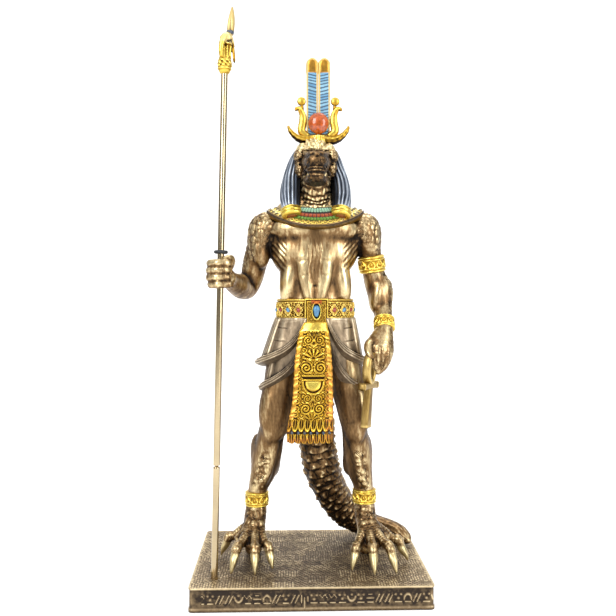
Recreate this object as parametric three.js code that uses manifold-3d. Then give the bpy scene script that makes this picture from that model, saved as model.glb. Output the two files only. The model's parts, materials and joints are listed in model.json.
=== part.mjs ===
// A table statuette of a crocodile-headed god: a figure cast in one piece with its crown, wig, kilt,
// tail and ankh, on a cast plinth, with a two-length metal staff that is capped by an animal's head.
// Millimetres, +Z up, the figure faces -Y. The origin is the middle of the plinth's underside.
import * as THREE from "three";
import { mergeVertices } from "three/addons/utils/BufferGeometryUtils.js";
import Module from "manifold-3d";

const wasm = await Module();
wasm.setup();

// Plinth
const PLINTH_WIDTH = 113;
const PLINTH_DEPTH = 84;
const PLINTH_HEIGHT = 11;
const PLINTH_CORNER = 1.8;
const PLINTH_LIP = 1.3; // height of the plain band above the panel of strokes
const PLINTH_FOOT = 2; // height of the plain band below it
const PANEL_SINK = 0.6; // how far the panel lies behind the two bands
const STROKE_RAISE = 0.4;
const STROKE_THICK = 0.8;
const STROKE_PITCH = 17;

// Figure, whose pose and carving are written in parts of its height: 254 of them from sole to plume tip
const FIGURE_HEIGHT = 254;
const FIGURE_PART_COUNT = 254;
const FIGURE_X = 3; // the figure stands a little off the plinth's middle

// Staff
const SHAFT_DIAMETER = 3.2;
const STAFF_LEAN = 1.21; // degrees, towards the figure
const STAFF_TIP = 279.5; // height of the ears' tips above the plinth's underside
const SEAM_HEIGHT = 63.5; // where the two lengths of shaft meet
const SEAM_GROOVE = 0.8;
const SPIGOT_DIAMETER = 2.2;
const SPIGOT_LENGTH = 1.5;
const SOCKET_DEPTH = 3; // how far the shaft goes down into the plinth
const CAP_HEIGHT = 28; // from the cap's collar to the ears' tips, carved in 28 parts of it
const CAP_PART_COUNT = 28;
const SLEEVE_DEPTH = 4; // how far the shaft runs up into the cap
const CAP_TURN = -24; // degrees that the animal's head is turned to the figure's right
const RING_THICK = 1.5;
const RING_ABOVE_GRIP = 11.1;
const CLEARANCE = 0.3; // left between pieces that touch or fit in each other

const { abs, acos, atan2, cos, exp, floor, hypot, min, PI, sin, sqrt } = Math;
const { clamp, degToRad, lerp: mix, smoothstep } = THREE.MathUtils;
const part = FIGURE_HEIGHT / FIGURE_PART_COUNT;
const capPart = CAP_HEIGHT / CAP_PART_COUNT;

// Solids and how they join

function solid(geometry) {
  geometry.deleteAttribute("normal");
  geometry.deleteAttribute("uv");
  const merged = mergeVertices(geometry, 1e-4);
  const vertProperties = new Float32Array(merged.attributes.position.array);
  const triVerts = new Uint32Array(merged.index.array);
  const made = () => new wasm.Manifold(new wasm.Mesh({ numProp: 3, vertProperties, triVerts }));
  if (made().volume() < 0) triVerts.reverse(); // a mirroring map had turned the faces inwards
  return made();
}

function join(solids) {
  return solids.reduce((whole, next) => whole.add(next));
}

function meshOf(name, made, colour, roughness, metalness) {
  const { vertProperties, triVerts, numProp } = made.getMesh();
  const geometry = new THREE.BufferGeometry();
  geometry.setAttribute("position", new THREE.BufferAttribute(vertProperties, numProp));
  geometry.setIndex(new THREE.BufferAttribute(triVerts, 1));
  const material = new THREE.MeshStandardMaterial({ color: colour, roughness, metalness });
  const mesh = new THREE.Mesh(geometry, material);
  mesh.name = name;
  return mesh;
}

// A sphere's rings laid along a curve. A station is [x, y, z, half-width, half-depth], and the width
// lies along across. The flat-sided rings keep the area of round ones, and carve adds to the radius.
function limb(stations, { sides = 8, steps = 11, across = [1, 0, 0], carve = () => 0, blunt = 0.06 } = {}) {
  const curve = (points) => new THREE.CatmullRomCurve3(points, false, "catmullrom", 0.5);
  const line = curve(stations.map(([x, y, z]) => new THREE.Vector3(x, y, z)));
  const sizes = curve(stations.map(([, , , wide, deep = wide]) => new THREE.Vector3(wide, deep, 0)));
  const side = new THREE.Vector3(...across);
  const wedge = (2 * PI) / sides;
  const fuller = sqrt(wedge / sin(wedge));
  const geometry = new THREE.SphereGeometry(1, sides, steps);
  const position = geometry.attributes.position;
  const v = new THREE.Vector3();
  for (let i = 0; i < position.count; i++) {
    v.fromBufferAttribute(position, i);
    const t = acos(clamp(v.y, -1, 1)) / PI;
    const spot = line.getPoint(t);
    const ring = hypot(v.x, v.z);
    if (ring > 1e-6) {
      const closing = fuller * sqrt(1 - (1 - min(1, t / blunt, (1 - t) / blunt)) ** 2);
      const tangent = line.getTangent(t);
      const over = new THREE.Vector3().crossVectors(tangent, side).normalize();
      const level = new THREE.Vector3().crossVectors(over, tangent).normalize();
      const size = sizes.getPoint(t);
      const reach = level.multiplyScalar((v.x / ring) * size.x).addScaledVector(over, (v.z / ring) * size.y);
      reach.multiplyScalar(closing);
      const swollen = closing * carve(spot.clone().add(reach), t);
      spot.add(reach).addScaledVector(reach.normalize(), swollen);
    }
    position.setXYZ(i, spot.x, spot.y, spot.z);
  }
  return solid(geometry);
}

// A box's grid bent by a map of (u, v, w), each from 0 to 1, to a point
function bent(columns, rows, map) {
  const geometry = new THREE.BoxGeometry(1, 1, 1, columns, rows, 1);
  const position = geometry.attributes.position;
  for (let i = 0; i < position.count; i++) {
    const share = [position.getX(i), position.getY(i), position.getZ(i)].map((value) => value + 0.5);
    position.setXYZ(i, ...map(...share));
  }
  return solid(geometry);
}

function ball([x, y, z], [rx, ry, rz], sides = 6, rings = 4) {
  const geometry = new THREE.SphereGeometry(1, sides, rings).rotateX(PI / 2);
  return solid(geometry.scale(rx, ry, rz).translate(x, y, z));
}

// A turned band, from its profile of [radius, height] pairs, tilted and set round a limb
function band(profile, segments, [x, y, z], tilt = [0, 0, 0], flat = 1) {
  const points = [...profile, profile[0]].map(([radius, height]) => new THREE.Vector2(radius, height));
  const geometry = new THREE.LatheGeometry(points, segments).rotateX(PI / 2).scale(1, flat, 1);
  geometry.applyMatrix4(new THREE.Matrix4().makeRotationFromEuler(new THREE.Euler(...tilt)));
  return solid(geometry.translate(x, y, z));
}

function bracelet(radius, height, centre, tilt) {
  const [inside, waist, rim] = [radius / 2, radius + 0.7, radius + 1.4];
  const half = height / 2;
  const profile = [[inside, -half], [rim, -half], [waist, 0], [rim, half], [inside, half]];
  return band(profile, 7, centre, tilt);
}

const mirrored = (build) => [build(-1), build(1)];

// A soft swelling of the skin at [x, z], with its half-width, half-height and rise
function swell(spot, x, z, wide, high, rise) {
  return rise * exp(-(((spot.x - x) / wide) ** 2) - ((spot.z - z) / high) ** 2);
}

// Body

function torsoCarving(spot) {
  let rise = -swell(spot, 0, 150, 1.3, 16, 0.8);
  for (const s of [-1, 1]) {
    if (spot.y < -2) {
      rise += swell(spot, s * 9.5, 163.5, 8, 5, 2.6); // breast
      rise += swell(spot, s * 14, 149, 3, 7, 1); // ribs
      for (const z of [152.5, 145.5, 138.5]) rise += swell(spot, s * 4.2, z, 3, 2.7, 1.2); // belly
    } else {
      rise += swell(spot, s * 13, 158, 7, 10, 1.6); // shoulder blades
      rise += swell(spot, s * 4, 142, 2.5, 12, 0.7); // loins
    }
  }
  return rise;
}

function torso() {
  const stations = [[0, -1, 97, 18, 12], [0, -1, 108, 21.6, 14.6], [0, -2, 120, 18.4, 12.6],
    [0, -2.8, 130, 17, 11.4], [0, -3, 139, 16.6, 11], [-0.4, -3, 147, 18, 11.6],
    [-0.8, -2.5, 156, 21.2, 12.6], [-0.8, -2, 164, 24, 13], [-0.5, -1, 172, 22, 11.4],
    [0, -1.5, 179, 14, 9.6], [0, -3, 186, 8, 8.4]];
  const shoulders = mirrored((s) => ball([s * 21.5, 0, 169], [9.4, 8.4, 7.4]));
  return join([limb(stations, { sides: 14, steps: 14, carve: torsoCarving, blunt: 0.02 }), ...shoulders]);
}

function throat() {
  const stations = [[0, -5, 172, 7.4, 8], [0, -7, 182, 7.2, 8.4], [0, -10, 192, 7.4, 8.6]];
  const ridges = (spot) => 0.7 * cos((spot.z - 175) * 1.57);
  return limb(stations, { sides: 6, steps: 11, carve: ridges });
}

const LEGS = [
  { flesh: [[-9.5, -1, 112, 9.5, 11], [-15, -2, 98, 9.8, 11], [-17.6, -3, 84, 9, 10],
    [-19.8, -4.5, 70, 8, 8.6], [-22.2, -3, 63.5, 6.9, 7.6], [-24.4, 0, 52, 7.8, 8.4],
    [-26.2, 0.5, 44, 7, 7.4], [-28.9, 0, 35.5, 5.2, 5.6], [-30.4, 0, 26, 4.7, 5.4], [-31.2, 0, 18, 5.2, 6.2]],
  ankle: [-29.7, 0, 29.6], heel: [-31.6, 4, 3],
  toes: [[-48, 0.5], [-41.2, -26], [-29.7, -27.3], [-21.4, -20.4]] },
  { flesh: [[9.5, -1, 112, 9.5, 11], [14.5, -2, 98, 9.4, 11], [17.4, -3, 84, 8.8, 9.8],
    [19.6, -4.5, 71, 7.5, 8.6], [20.2, -3, 63.5, 6.7, 7.6], [21.8, 0, 52, 7.8, 8.4],
    [23, 0.5, 44, 6.7, 7.4], [24.8, 0, 35.5, 5.2, 5.6], [25.8, 0, 26, 4.7, 5.4], [26.2, 0, 18, 5.2, 6.2]],
  ankle: [25.3, 0, 30.6], heel: [27, 4, 3],
  toes: [[17.1, -23.2], [27.2, -28.9], [37.9, -28.1], [46.1, -10.7]] },
];

// A toe springs from the ankle, arches over a knuckle and ends in a long claw that stands on the plinth.
function toe([x, y, z], [tipX, tipY]) {
  const way = (share, height, radius) => [mix(x, tipX, share), mix(y, tipY, share), height, radius];
  const stations = [way(0, z, 3.6), way(0.4, z - 4, 2.7), way(0.64, 10.6, 2.3), way(0.78, 10, 2.9),
    way(0.9, 6.4, 2.1), way(0.97, 3, 1.3), way(1, -0.6, 0.6)];
  return limb(stations, { sides: 4, steps: 7 });
}

function foot([x, y], heel, toes) {
  const middle = toes.reduce((sum, [tipX]) => sum + tipX / toes.length, 0);
  const root = [mix(x, middle, 0.2), y - 2, 17];
  const sole = [[x, y, 22, 5, 6], [heel[0], heel[1] - 1, 12, 5.2, 6.2], [...heel, 4.4, 5.6],
    [heel[0], heel[1], -2, 4, 5]];
  const web = [[x, y - 1, 21, 4.6, 5], [mix(x, middle, 0.4), y - 8, 14, 8, 3.6],
    [middle, y - 15, 9.6, 10, 1.4]];
  return join([limb(sole, { sides: 6, steps: 4 }), limb(web, { sides: 6, steps: 4, blunt: 0.12 }),
    ...toes.map((tip) => toe(root, tip))]);
}

function leg({ flesh, ankle, heel, toes }) {
  return join([limb(flesh, { sides: 7, steps: 10 }), bracelet(4.6, 7.4, ankle), foot(ankle, heel, toes)]);
}

// Tail, with two rows of upright scutes along its back
const TAIL = [[0, 5, 118, 9, 7], [0, 11, 102, 10, 9], [0, 15, 84, 10.2, 9.6], [0.6, 16.5, 66, 9.8, 9.2],
  [2.2, 17, 52, 9.4, 9], [4.6, 18.6, 40, 9.2, 8.8], [8.6, 22, 29, 8.6, 8.4], [15, 26, 17.5, 7.8, 7.6],
  [24, 28.6, 9.6, 6.8, 6.8], [33, 27.4, 6.4, 5.6, 5.6], [41, 22.5, 5.2, 4.5, 4.6],
  [47, 17, 3.8, 3.3, 3.4], [51, 11.4, 1.6, 1.4, 1.4]];
const TAIL_SCUTES = 7;

function tail() {
  const line = new THREE.CatmullRomCurve3(TAIL.map(([x, y, z]) => new THREE.Vector3(x, y, z)));
  const scutes = [];
  for (let i = 2; i < TAIL_SCUTES; i++) {
    const t = i / (TAIL_SCUTES + 2);
    const deep = TAIL[floor(t * (TAIL.length - 1))][4];
    const place = line.getPoint(t).add(new THREE.Vector3(0.1, 1, 0.3 + t * t).setLength(deep * 0.84));
    for (const s of [-1, 1]) {
      const cone = new THREE.ConeGeometry(2.6, 5, 4).rotateX(PI / 2 - 0.9);
      scutes.push(solid(cone.translate(place.x + s * deep * 0.3, place.y, place.z)));
    }
  }
  return join([limb(TAIL, { sides: 7, steps: 15, blunt: 0.02 }), ...scutes]);
}

// Four fingers and a thumb curl round a bar at grip. The knuckles lie on the side given, and the
// fingers go round to the side that turn, 1 or -1, gives.
const FINGER = { radius: 1.45, pitch: 3.7, first: 5.4 };
const FINGER_CURL = [[2.5, -4.2], [4.6, -1], [4.2, 2.8], [0.6, 4.4], [-3, 3.2]]; // out, round

function fist(grip, wrist, knuckles, bar, turn) {
  const along = new THREE.Vector3(...bar).normalize();
  const out = new THREE.Vector3(...knuckles).normalize();
  const round = new THREE.Vector3().crossVectors(along, out).multiplyScalar(turn);
  const near = (o, r, a) => new THREE.Vector3(...grip).addScaledVector(out, o)
    .addScaledVector(round, r).addScaledVector(along, a).toArray();
  const across = along.toArray();
  const palm = [[...wrist, 4, 4.2], [...near(1.8, -4.6, 0), 6, 3.4], [...near(3.6, -1, 0), 6, 2.4]];
  const thumb = [[...near(0, -5, 3), 2.6], [...near(-3.4, -3, 5), 2.3], [...near(-4, 1.2, 5.6), 2],
    [...near(-2.4, 3.4, 5.2), 1.6]];
  const pieces = [limb(palm, { sides: 5, steps: 4, across })];
  pieces.push(limb(thumb, { sides: 4, steps: 4, across, blunt: 0.1 }));
  for (let i = 0; i < 4; i++) {
    const a = FINGER.first - i * FINGER.pitch;
    const curl = FINGER_CURL.map(([o, r]) => [...near(o, r, a), FINGER.radius]);
    pieces.push(limb(curl, { sides: 4, steps: 5, across, blunt: 0.1 }));
  }
  return join(pieces);
}

const STAFF_ARM = [[-23, 0, 172, 6, 7], [-26.6, 0, 166.5, 7.4, 8], [-28.4, 1.4, 158, 7, 7.4],
  [-30.8, 2.6, 149.5, 6.6, 7], [-32.6, 3.6, 142, 6.2, 6.4], [-34.6, 3, 137.2, 5.6, 5.8],
  [-37.4, -3, 137, 5.6, 5.8], [-40, -11, 138.8, 5.1, 5.3], [-42, -17.5, 140.4, 4.4, 4.6],
  [-43, -22, 141.6, 4, 4.4]];
const ANKH_ARM = [[22.4, 0, 172, 6, 7], [26, 0, 166, 7.4, 8], [27.2, 1, 157, 6.8, 7.2],
  [28.2, 2, 148.5, 6.6, 6.8], [30, 2.8, 141.5, 6.2, 6.4], [32.4, 2.5, 134, 6.2, 6.2],
  [33.2, 0, 127.5, 5.4, 5.4], [33, -5, 121.5, 4.4, 4.6], [32.6, -9, 116.5, 3.9, 4.2],
  [32.8, -11.5, 112, 3.9, 4.6]];
const STAFF_GRIP = [-45.7, -29, 142.5];
const ANKH_GRIP = [29.4, -14.6, 102.4];

function arms() {
  return join([limb(STAFF_ARM, { sides: 7 }), limb(ANKH_ARM, { sides: 7 }),
    fist(STAFF_GRIP, [-43, -21.6, 141.4], [-1, 0.15, 0], [0.02, 0, 1], 1),
    fist(ANKH_GRIP, [32.7, -11, 113], [0.9, 0, -0.35], [0, -1, 0.1], -1),
    bracelet(5.9, 8.6, [28.3, 1.9, 149], [-0.12, 0.12, 0]),
    bracelet(3.9, 6.4, [32.8, -8.2, 117.8], [-0.7, 0.02, 0])]);
}

// Crocodile's head: two long jaws, brows, jaw muscles, the nostrils' mound and a knobbed crest
function head() {
  const upper = [[0, 3, 203, 7, 6], [0, -4, 204, 9.4, 7.2], [0, -11, 202.6, 9.4, 7.4],
    [-0.2, -17, 200, 7.8, 6], [-0.4, -24, 198, 6.1, 4.8], [-0.7, -31, 197, 5.5, 4.2],
    [-0.8, -36, 197, 5.7, 4.3], [-0.8, -39.5, 196.6, 4.2, 3.2]];
  const lower = [[0, 0, 196, 8, 5.5], [0, -8, 193.6, 9.2, 6], [0, -16, 191.6, 7.2, 4.4],
    [-0.4, -25, 190, 5.3, 3.2], [-0.7, -33, 189.6, 4.7, 2.8], [-0.8, -37, 189.8, 3.4, 2]];
  const crest = [[-8, -8, 207, 1, 1.4], [-4.6, -9, 209.6, 1.8, 1.8], [0, -9.6, 210.6, 1.8, 2],
    [4.6, -9, 209.6, 1.8, 1.8], [8, -8, 207, 1, 1.4]];
  const knobs = (spot, t) => 0.7 * abs(cos(t * PI * 4));
  const brow = (s) => ball([s * 7.4, -10.5, 205.6], [3.3, 4.6, 3.4]);
  const jawMuscle = (s) => ball([s * 8.2, -5.5, 195.5], [2.9, 5.2, 5.2]);
  return join([limb(upper, { sides: 8, steps: 9 }), limb(lower, { sides: 6, steps: 6 }),
    limb(crest, { sides: 4, steps: 9, across: [0, 1, 0], carve: knobs }),
    ball([-0.8, -36, 201], [3.6, 3, 1.7]), ...mirrored(brow), ...mirrored(jawMuscle)]);
}

// Wig: a fluted fall behind the head and a lappet in front of each shoulder, ending in a banded roll
function wig() {
  const flutes = (count, rise, [x, y]) => (spot) => rise * cos(atan2(spot.y - y, spot.x - x) * count);
  const fall = [[0, 2, 208, 6.5, 4.5], [0, 5.5, 203, 10.4, 6.2], [0, 7.6, 192, 12.2, 6.6],
    [0, 9.6, 180, 14.2, 6.2], [0, 11.5, 166, 14.2, 5], [0, 12, 158, 13, 4]];
  const roll = [[0.1, -2.6], [5, -2.6], [4.5, 0], [5, 2.6], [0.1, 2.6]];
  const lappet = (s) => join([
    limb([[s * 7.4, 0, 206.5, 3, 6], [s * 9.8, -1, 199.5, 3.8, 6.6], [s * 11.8, -3, 190, 4.4, 7],
      [s * 12.6, -7.6, 181.6, 4.6, 6], [s * 12, -12, 174.6, 4.2, 3.8]],
    { sides: 8, steps: 6, carve: flutes(4, 0.4, [s * 12.4, -4]) }),
    band(roll, 7, [s * 12, -13.4, 172.4], [-0.5, 0, 0], 0.66),
  ]);
  return join([limb(fall, { sides: 12, steps: 6, carve: flutes(6, 0.5, [0, 8]) }), ...mirrored(lappet)]);
}

// Broad collar: ridged rings laid over the shoulders and the breast
const COLLAR_ROWS = 3;
const COLLAR = { neck: 7.5, wide: 24.8, front: 15.6, back: 15 };

function collar() {
  const rows = 2 * COLLAR_ROWS;
  const profile = [];
  for (let i = 0; i <= rows; i++) profile.push(new THREE.Vector2(1 + i / rows, 1));
  profile.push(new THREE.Vector2(2, 0), new THREE.Vector2(1, 0), new THREE.Vector2(1, 1));
  const geometry = new THREE.LatheGeometry(profile, 14);
  const position = geometry.attributes.position;
  for (let i = 0; i < position.count; i++) {
    const [x, lifted, z] = [position.getX(i), position.getY(i), position.getZ(i)];
    const share = clamp(hypot(x, z) - 1, 0, 1);
    const [cosine, sine] = [x, z].map((value) => value / hypot(x, z));
    const toEnds = abs(sine) ** 1.5;
    const deep = mix(8, sine < 0 ? COLLAR.front : COLLAR.back, share ** 0.8);
    const ridge = 0.5 * abs(sin(share * PI * COLLAR_ROWS));
    const lift = lifted ? 2.2 + ridge : -2;
    const drop = share * 1.6 + toEnds * (sine < 0 ? 10.6 : 9) * share ** 1.4;
    position.setXYZ(i, mix(COLLAR.neck, COLLAR.wide, share) * cosine,
      (deep + lift * 0.8 * toEnds) * sine - 1.6, 177.6 - drop + lift * (1 - 0.5 * toEnds));
  }
  return solid(geometry);
}

// Belt with a raised rim above and below, gem settings round it and a plate in front
const BELT = { z: 125.9, high: 11.2, wide: 19, deep: 14, y: -2, rim: 0.9 };
const BELT_GEMS = 8;

function belt() {
  const { z, high, wide, deep, y, rim } = BELT;
  const half = high / 2;
  const profile = [[wide / 2, -half], [wide + rim, -half], [wide + rim, rim - half], [wide, 2 * rim - half],
    [wide, half - 2 * rim], [wide + rim, half - rim], [wide + rim, half], [wide / 2, half]];
  const gems = [];
  for (let i = 0; i < BELT_GEMS; i++) {
    const turn = ((i + 0.5) / BELT_GEMS) * 2 * PI;
    const normal = new THREE.Vector3(cos(turn) / wide, sin(turn) / deep, 0);
    const gem = new THREE.ConeGeometry(2.6, 3, 4).rotateX(PI / 2).lookAt(normal);
    gems.push(solid(gem.translate(wide * cos(turn), y + deep * sin(turn), z)));
  }
  const plate = new THREE.BoxGeometry(11.6, 3.4, 12.8).translate(0, y - deep - 1, z - 0.6);
  return join([band(profile, 14, [0, y, z], [0, 0, 0], deep / wide), ...gems, solid(plate),
    ball([0, y - deep - 2.7, z - 1], [2.4, 1.6, 4])]);
}

// Kilt: two wrapped layers that part in front, whose rolled hems fall from the buckle to the hips
const KILT_PARTING = 0.24; // radians each side of the middle, where the layers part in front

function kiltLayer({ hemFront, hemSide, wide, deep, x, lift }) {
  return bent(12, 4, (u, v, w) => {
    const turned = 1 - abs(2 * u - 1); // 0 at the parting in front, 1 behind
    const angle = mix(-PI / 2 + KILT_PARTING, 1.5 * PI - KILT_PARTING, u);
    const drop = (1 - v) ** 0.8;
    const hem = mix(hemSide, hemFront, exp(-turned / 0.14));
    const roll = v < 0.3 ? 1.2 : 0;
    const skin = w ? 1.6 + roll + lift : -2.4;
    const open = drop * smoothstep(turned, 0.02, 0.3);
    return [x * open + (mix(18, wide, open) + skin) * cos(angle),
      -2 + (mix(13, deep, open) + skin) * sin(angle), mix(122, hem, drop)];
  });
}

function kilt() {
  return join([
    kiltLayer({ hemFront: 119, hemSide: 97.6, wide: 24.6, deep: 18.6, x: -1.9, lift: 0.8 }),
    kiltLayer({ hemFront: 114, hemSide: 85, wide: 23, deep: 17.4, x: -3, lift: -0.4 }),
  ]);
}

// Apron: a stiff panel with scalloped edges, raised scrolls and a bowl, swung a little to one side
const APRON = { top: 120, foot: 62.6, thick: 3.2 };
const APRON_LEFT = [[-14.2, 0], [-14.4, 0.08], [-13.2, 0.2], [-11.7, 0.33], [-11, 0.5], [-10.3, 0.7],
  [-8.4, 0.9], [-6, 1]];

function apronAt(u, v, w) {
  const edge = new THREE.SplineCurve(APRON_LEFT.map(([x, share]) => new THREE.Vector2(x, share)));
  const bow = 1.1 * sin(u * PI);
  const y = -17 - (1 - v) * 7 + 2 * (1 - v) ** 2 + (0.5 - w) * APRON.thick - bow;
  return [mix(edge.getPoint(v).x, mix(7.7, 5, v ** 4), u), y, mix(APRON.foot, APRON.top, v)];
}

function apron() {
  const panel = bent(4, 8, (u, v, w) => {
    const [x, y, z] = apronAt(u, v, w);
    const foot = v < 0.01 ? -0.9 * abs(cos(u * PI * 2)) : 0;
    const side = (u < 0.01 ? -1 : u > 0.99 ? 1 : 0) * 0.8 * abs(sin(v * PI * 4));
    return [x + side, y, z + foot];
  });
  const scrolls = [];
  for (const v of [0.2, 0.76]) {
    for (const u of [0.27, 0.73]) {
      const curl = new THREE.TorusGeometry(2.4, 0.9, 3, 6).rotateX(PI / 2);
      scrolls.push(solid(curl.translate(...apronAt(u, v, 1))));
    }
  }
  const [x, y, z] = apronAt(0.5, 0.53, 1);
  return join([panel, ...scrolls, ball([x, y + 0.4, z - 1.4], [3.8, 1.8, 3]),
    ball([x, y + 0.2, z + 2.6], [4.8, 1.4, 1.2], 6, 3)]);
}

// Crown: ram's horns, a disc, two tall feathers and a rearing cobra on each side
const CROWN_X = 1.5;
const FEATHER = { half: 3.15, foot: 210, top: 254, thick: 2.6, rim: 0.8, sunk: 0.5 };

function feather(s) {
  const { half, foot: low, top, thick, rim, sunk } = FEATHER;
  const plate = (inset, depth, y) => {
    const shape = new THREE.Shape();
    shape.moveTo(inset - half, low);
    shape.lineTo(half - inset, low);
    shape.absarc(0, top - half, half - inset, 0, PI, false);
    shape.closePath();
    const blade = new THREE.ExtrudeGeometry(shape, { depth, bevelEnabled: false, curveSegments: 3 });
    return solid(blade.rotateX(PI / 2).translate(0, y, 0));
  };
  const panels = [plate(rim, thick, thick / 2 + thick - sunk), plate(rim, thick, sunk - thick / 2)];
  const made = panels.reduce((whole, panel) => whole.subtract(panel), plate(0, thick, thick / 2));
  return made.translate(CROWN_X + s * (half - 0.1), -2, 0);
}

function cobra(s) {
  const x = CROWN_X + s * 8.3;
  const body = limb([[CROWN_X + s * 4.5, -3.4, 213, 1.8, 1.4], [x, -3.6, 216, 1.9, 1.5],
    [x - s * 0.6, -3.6, 221, 1.7, 1.3], [x, -3.8, 226, 1.6, 1.2], [x + s * 1.8, -4.8, 227.4, 1.3, 1.2]],
  { sides: 4, steps: 7 });
  return join([body, ball([x + s * 0.7, -3.8, 229.4], [2.3, 1.5, 2.3])]);
}

function crown() {
  const horn = (s) => limb([[CROWN_X, -3.4, 212.2, 3, 3], [CROWN_X + s * 5.5, -3.6, 211, 2.9, 2.9],
    [CROWN_X + s * 10.4, -4, 212.2, 2.3, 2.4], [CROWN_X + s * 14, -4.6, 215.6, 1.5, 1.5],
    [CROWN_X + s * 15.8, -5, 219.4, 0.4, 0.4]], { sides: 5, steps: 6, across: [0, 0, 1] });
  const stem = new THREE.CylinderGeometry(4.6, 5.6, 8, 8).rotateX(PI / 2).translate(CROWN_X, -2.4, 210);
  return join([solid(stem), ...mirrored(horn), ...mirrored(feather), ...mirrored(cobra),
    ball([CROWN_X, -6, 219.3], [5.1, 3.4, 5.2], 8, 5)]);
}

// Ankh: its loop runs through the hand, and the crossbar and the flared stem hang below
function ankh() {
  const outline = new THREE.Shape();
  outline.moveTo(-3.3, -21);
  outline.lineTo(3.3, -21);
  outline.lineTo(1.6, 3);
  outline.lineTo(-1.6, 3);
  outline.closePath();
  const stem = new THREE.ExtrudeGeometry(outline, { depth: 3, bevelEnabled: false }).rotateX(PI / 2);
  const loop = new THREE.TorusGeometry(5, 1.4, 4, 10).rotateX(PI / 2).scale(0.8, 1, 1.35);
  const cross = new THREE.CylinderGeometry(1.7, 1.7, 14, 5).rotateZ(PI / 2);
  const made = join([solid(stem.translate(0, 1.5, 0)), solid(loop.translate(0, 0, 8.4)), solid(cross)]);
  return made.rotate([-4, 3, 42]).translate(25.4, -18.6, 89);
}

function figure() {
  const ground = PLINTH_HEIGHT + CLEARANCE;
  const cast = join([torso(), throat(), ...LEGS.map(leg), tail(), arms(), head(), wig(), collar(), belt(),
    kilt(), apron(), crown(), ankh()]);
  const standing = cast.scale([part, part, part]).translate(FIGURE_X, 0, ground);
  const size = 3 * FIGURE_HEIGHT;
  const below = solid(new THREE.BoxGeometry(size, size, size).translate(0, 0, ground - size / 2));
  return standing.subtract(below).subtract(rod(SHAFT_DIAMETER / 2 + CLEARANCE, PLINTH_HEIGHT, STAFF_TIP));
}

// Staff: its axis passes through the fist and leans in the plane of the shoulders
const footing = [FIGURE_X, 0, PLINTH_HEIGHT];
const [gripX, gripY, gripZ] = STAFF_GRIP.map((value, axis) => value * part + footing[axis]);
const CAP_FOOT = STAFF_TIP - CAP_HEIGHT;

const onStaff = (made) => made.rotate([0, STAFF_LEAN, 0]).translate(gripX, gripY, gripZ);
const fromGrip = (height) => (height - gripZ) / cos(degToRad(STAFF_LEAN));

function rod(radius, foot, top) {
  const [low, high] = [fromGrip(foot), fromGrip(top)];
  const geometry = new THREE.CylinderGeometry(radius, radius, high - low, 12).rotateX(PI / 2);
  return onStaff(solid(geometry.translate(0, 0, (low + high) / 2)));
}

function lowerShaft() {
  const shaft = rod(SHAFT_DIAMETER / 2, PLINTH_HEIGHT - SOCKET_DEPTH + CLEARANCE, SEAM_HEIGHT);
  return shaft.add(rod(SPIGOT_DIAMETER / 2, SEAM_HEIGHT - 1, SEAM_HEIGHT + SEAM_GROOVE + SPIGOT_LENGTH));
}

function upperShaft() {
  const foot = SEAM_HEIGHT + SEAM_GROOVE;
  const shaft = rod(SHAFT_DIAMETER / 2, foot, CAP_FOOT + SLEEVE_DEPTH - CLEARANCE);
  return shaft.subtract(rod(SPIGOT_DIAMETER / 2 + CLEARANCE / 2, foot - 1, foot + SPIGOT_LENGTH + CLEARANCE));
}

function gripRing() {
  const bore = SHAFT_DIAMETER / 2 + CLEARANCE / 2;
  const ring = new THREE.TorusGeometry(bore + RING_THICK / 2, RING_THICK / 2, 6, 12);
  return onStaff(solid(ring.translate(0, 0, RING_ABOVE_GRIP * part)));
}

// Staff cap: a collar and a neck under the head of a long-muzzled animal with two upright ears. The
// head is turned a little, so its ears stand off the shaft's line.
function staffHead() {
  const profile = [[0, 0], [2.9, 0], [3.1, 0.7], [2.7, 1.2], [3, 1.8], [3, 3.6], [2.5, 4.4], [2.3, 9],
    [2.6, 11.4], [0, 12.4]];
  const points = profile.map(([radius, height]) => new THREE.Vector2(radius, height));
  const neck = new THREE.LatheGeometry(points, 8).rotateX(PI / 2);
  const skull = limb([[0, 3.2, 14.6, 1.4, 1.6], [0, 1.2, 15, 2.3, 2.6], [0, -1.6, 14.4, 2.3, 2.5],
    [0, -4, 12, 1.8, 1.9], [0, -5.2, 9, 1.5, 1.4], [0, -5.4, 6.6, 1.2, 1.1], [0, -5, 5.4, 0.7, 0.7]],
  { sides: 6, steps: 7 });
  const mane = limb([[1.4, 2, 14.5, 1.2, 1.2], [2.6, 2, 10, 1.3, 1.2], [3.3, 1.4, 5, 0.8, 0.8]],
    { sides: 4, steps: 4 });
  const ear = (s) => limb([[s * 0.9, 3, 14.5, 0.9, 1.3], [s * 1.1, 3.4, 18.5, 1.1, 1.7],
    [s, 3.8, 23.5, 0.9, 1.3], [s * 0.6, 4, CAP_PART_COUNT, 0.35, 0.4]], { sides: 4, steps: 5 });
  const eye = (s) => ball([s * 1.9, -1.8, 15], [0.9, 0.9, 0.9], 5, 3);
  const carved = join([solid(neck), skull, mane, ...mirrored(ear), ...mirrored(eye)]);
  const animal = carved.scale([capPart, capPart, capPart]);
  const bore = rod(SHAFT_DIAMETER / 2 + CLEARANCE / 2, CAP_FOOT - 5, CAP_FOOT + SLEEVE_DEPTH);
  return onStaff(animal.rotate([0, 0, CAP_TURN]).translate(0, 0, fromGrip(CAP_FOOT))).subtract(bore);
}

// Plinth

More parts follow.
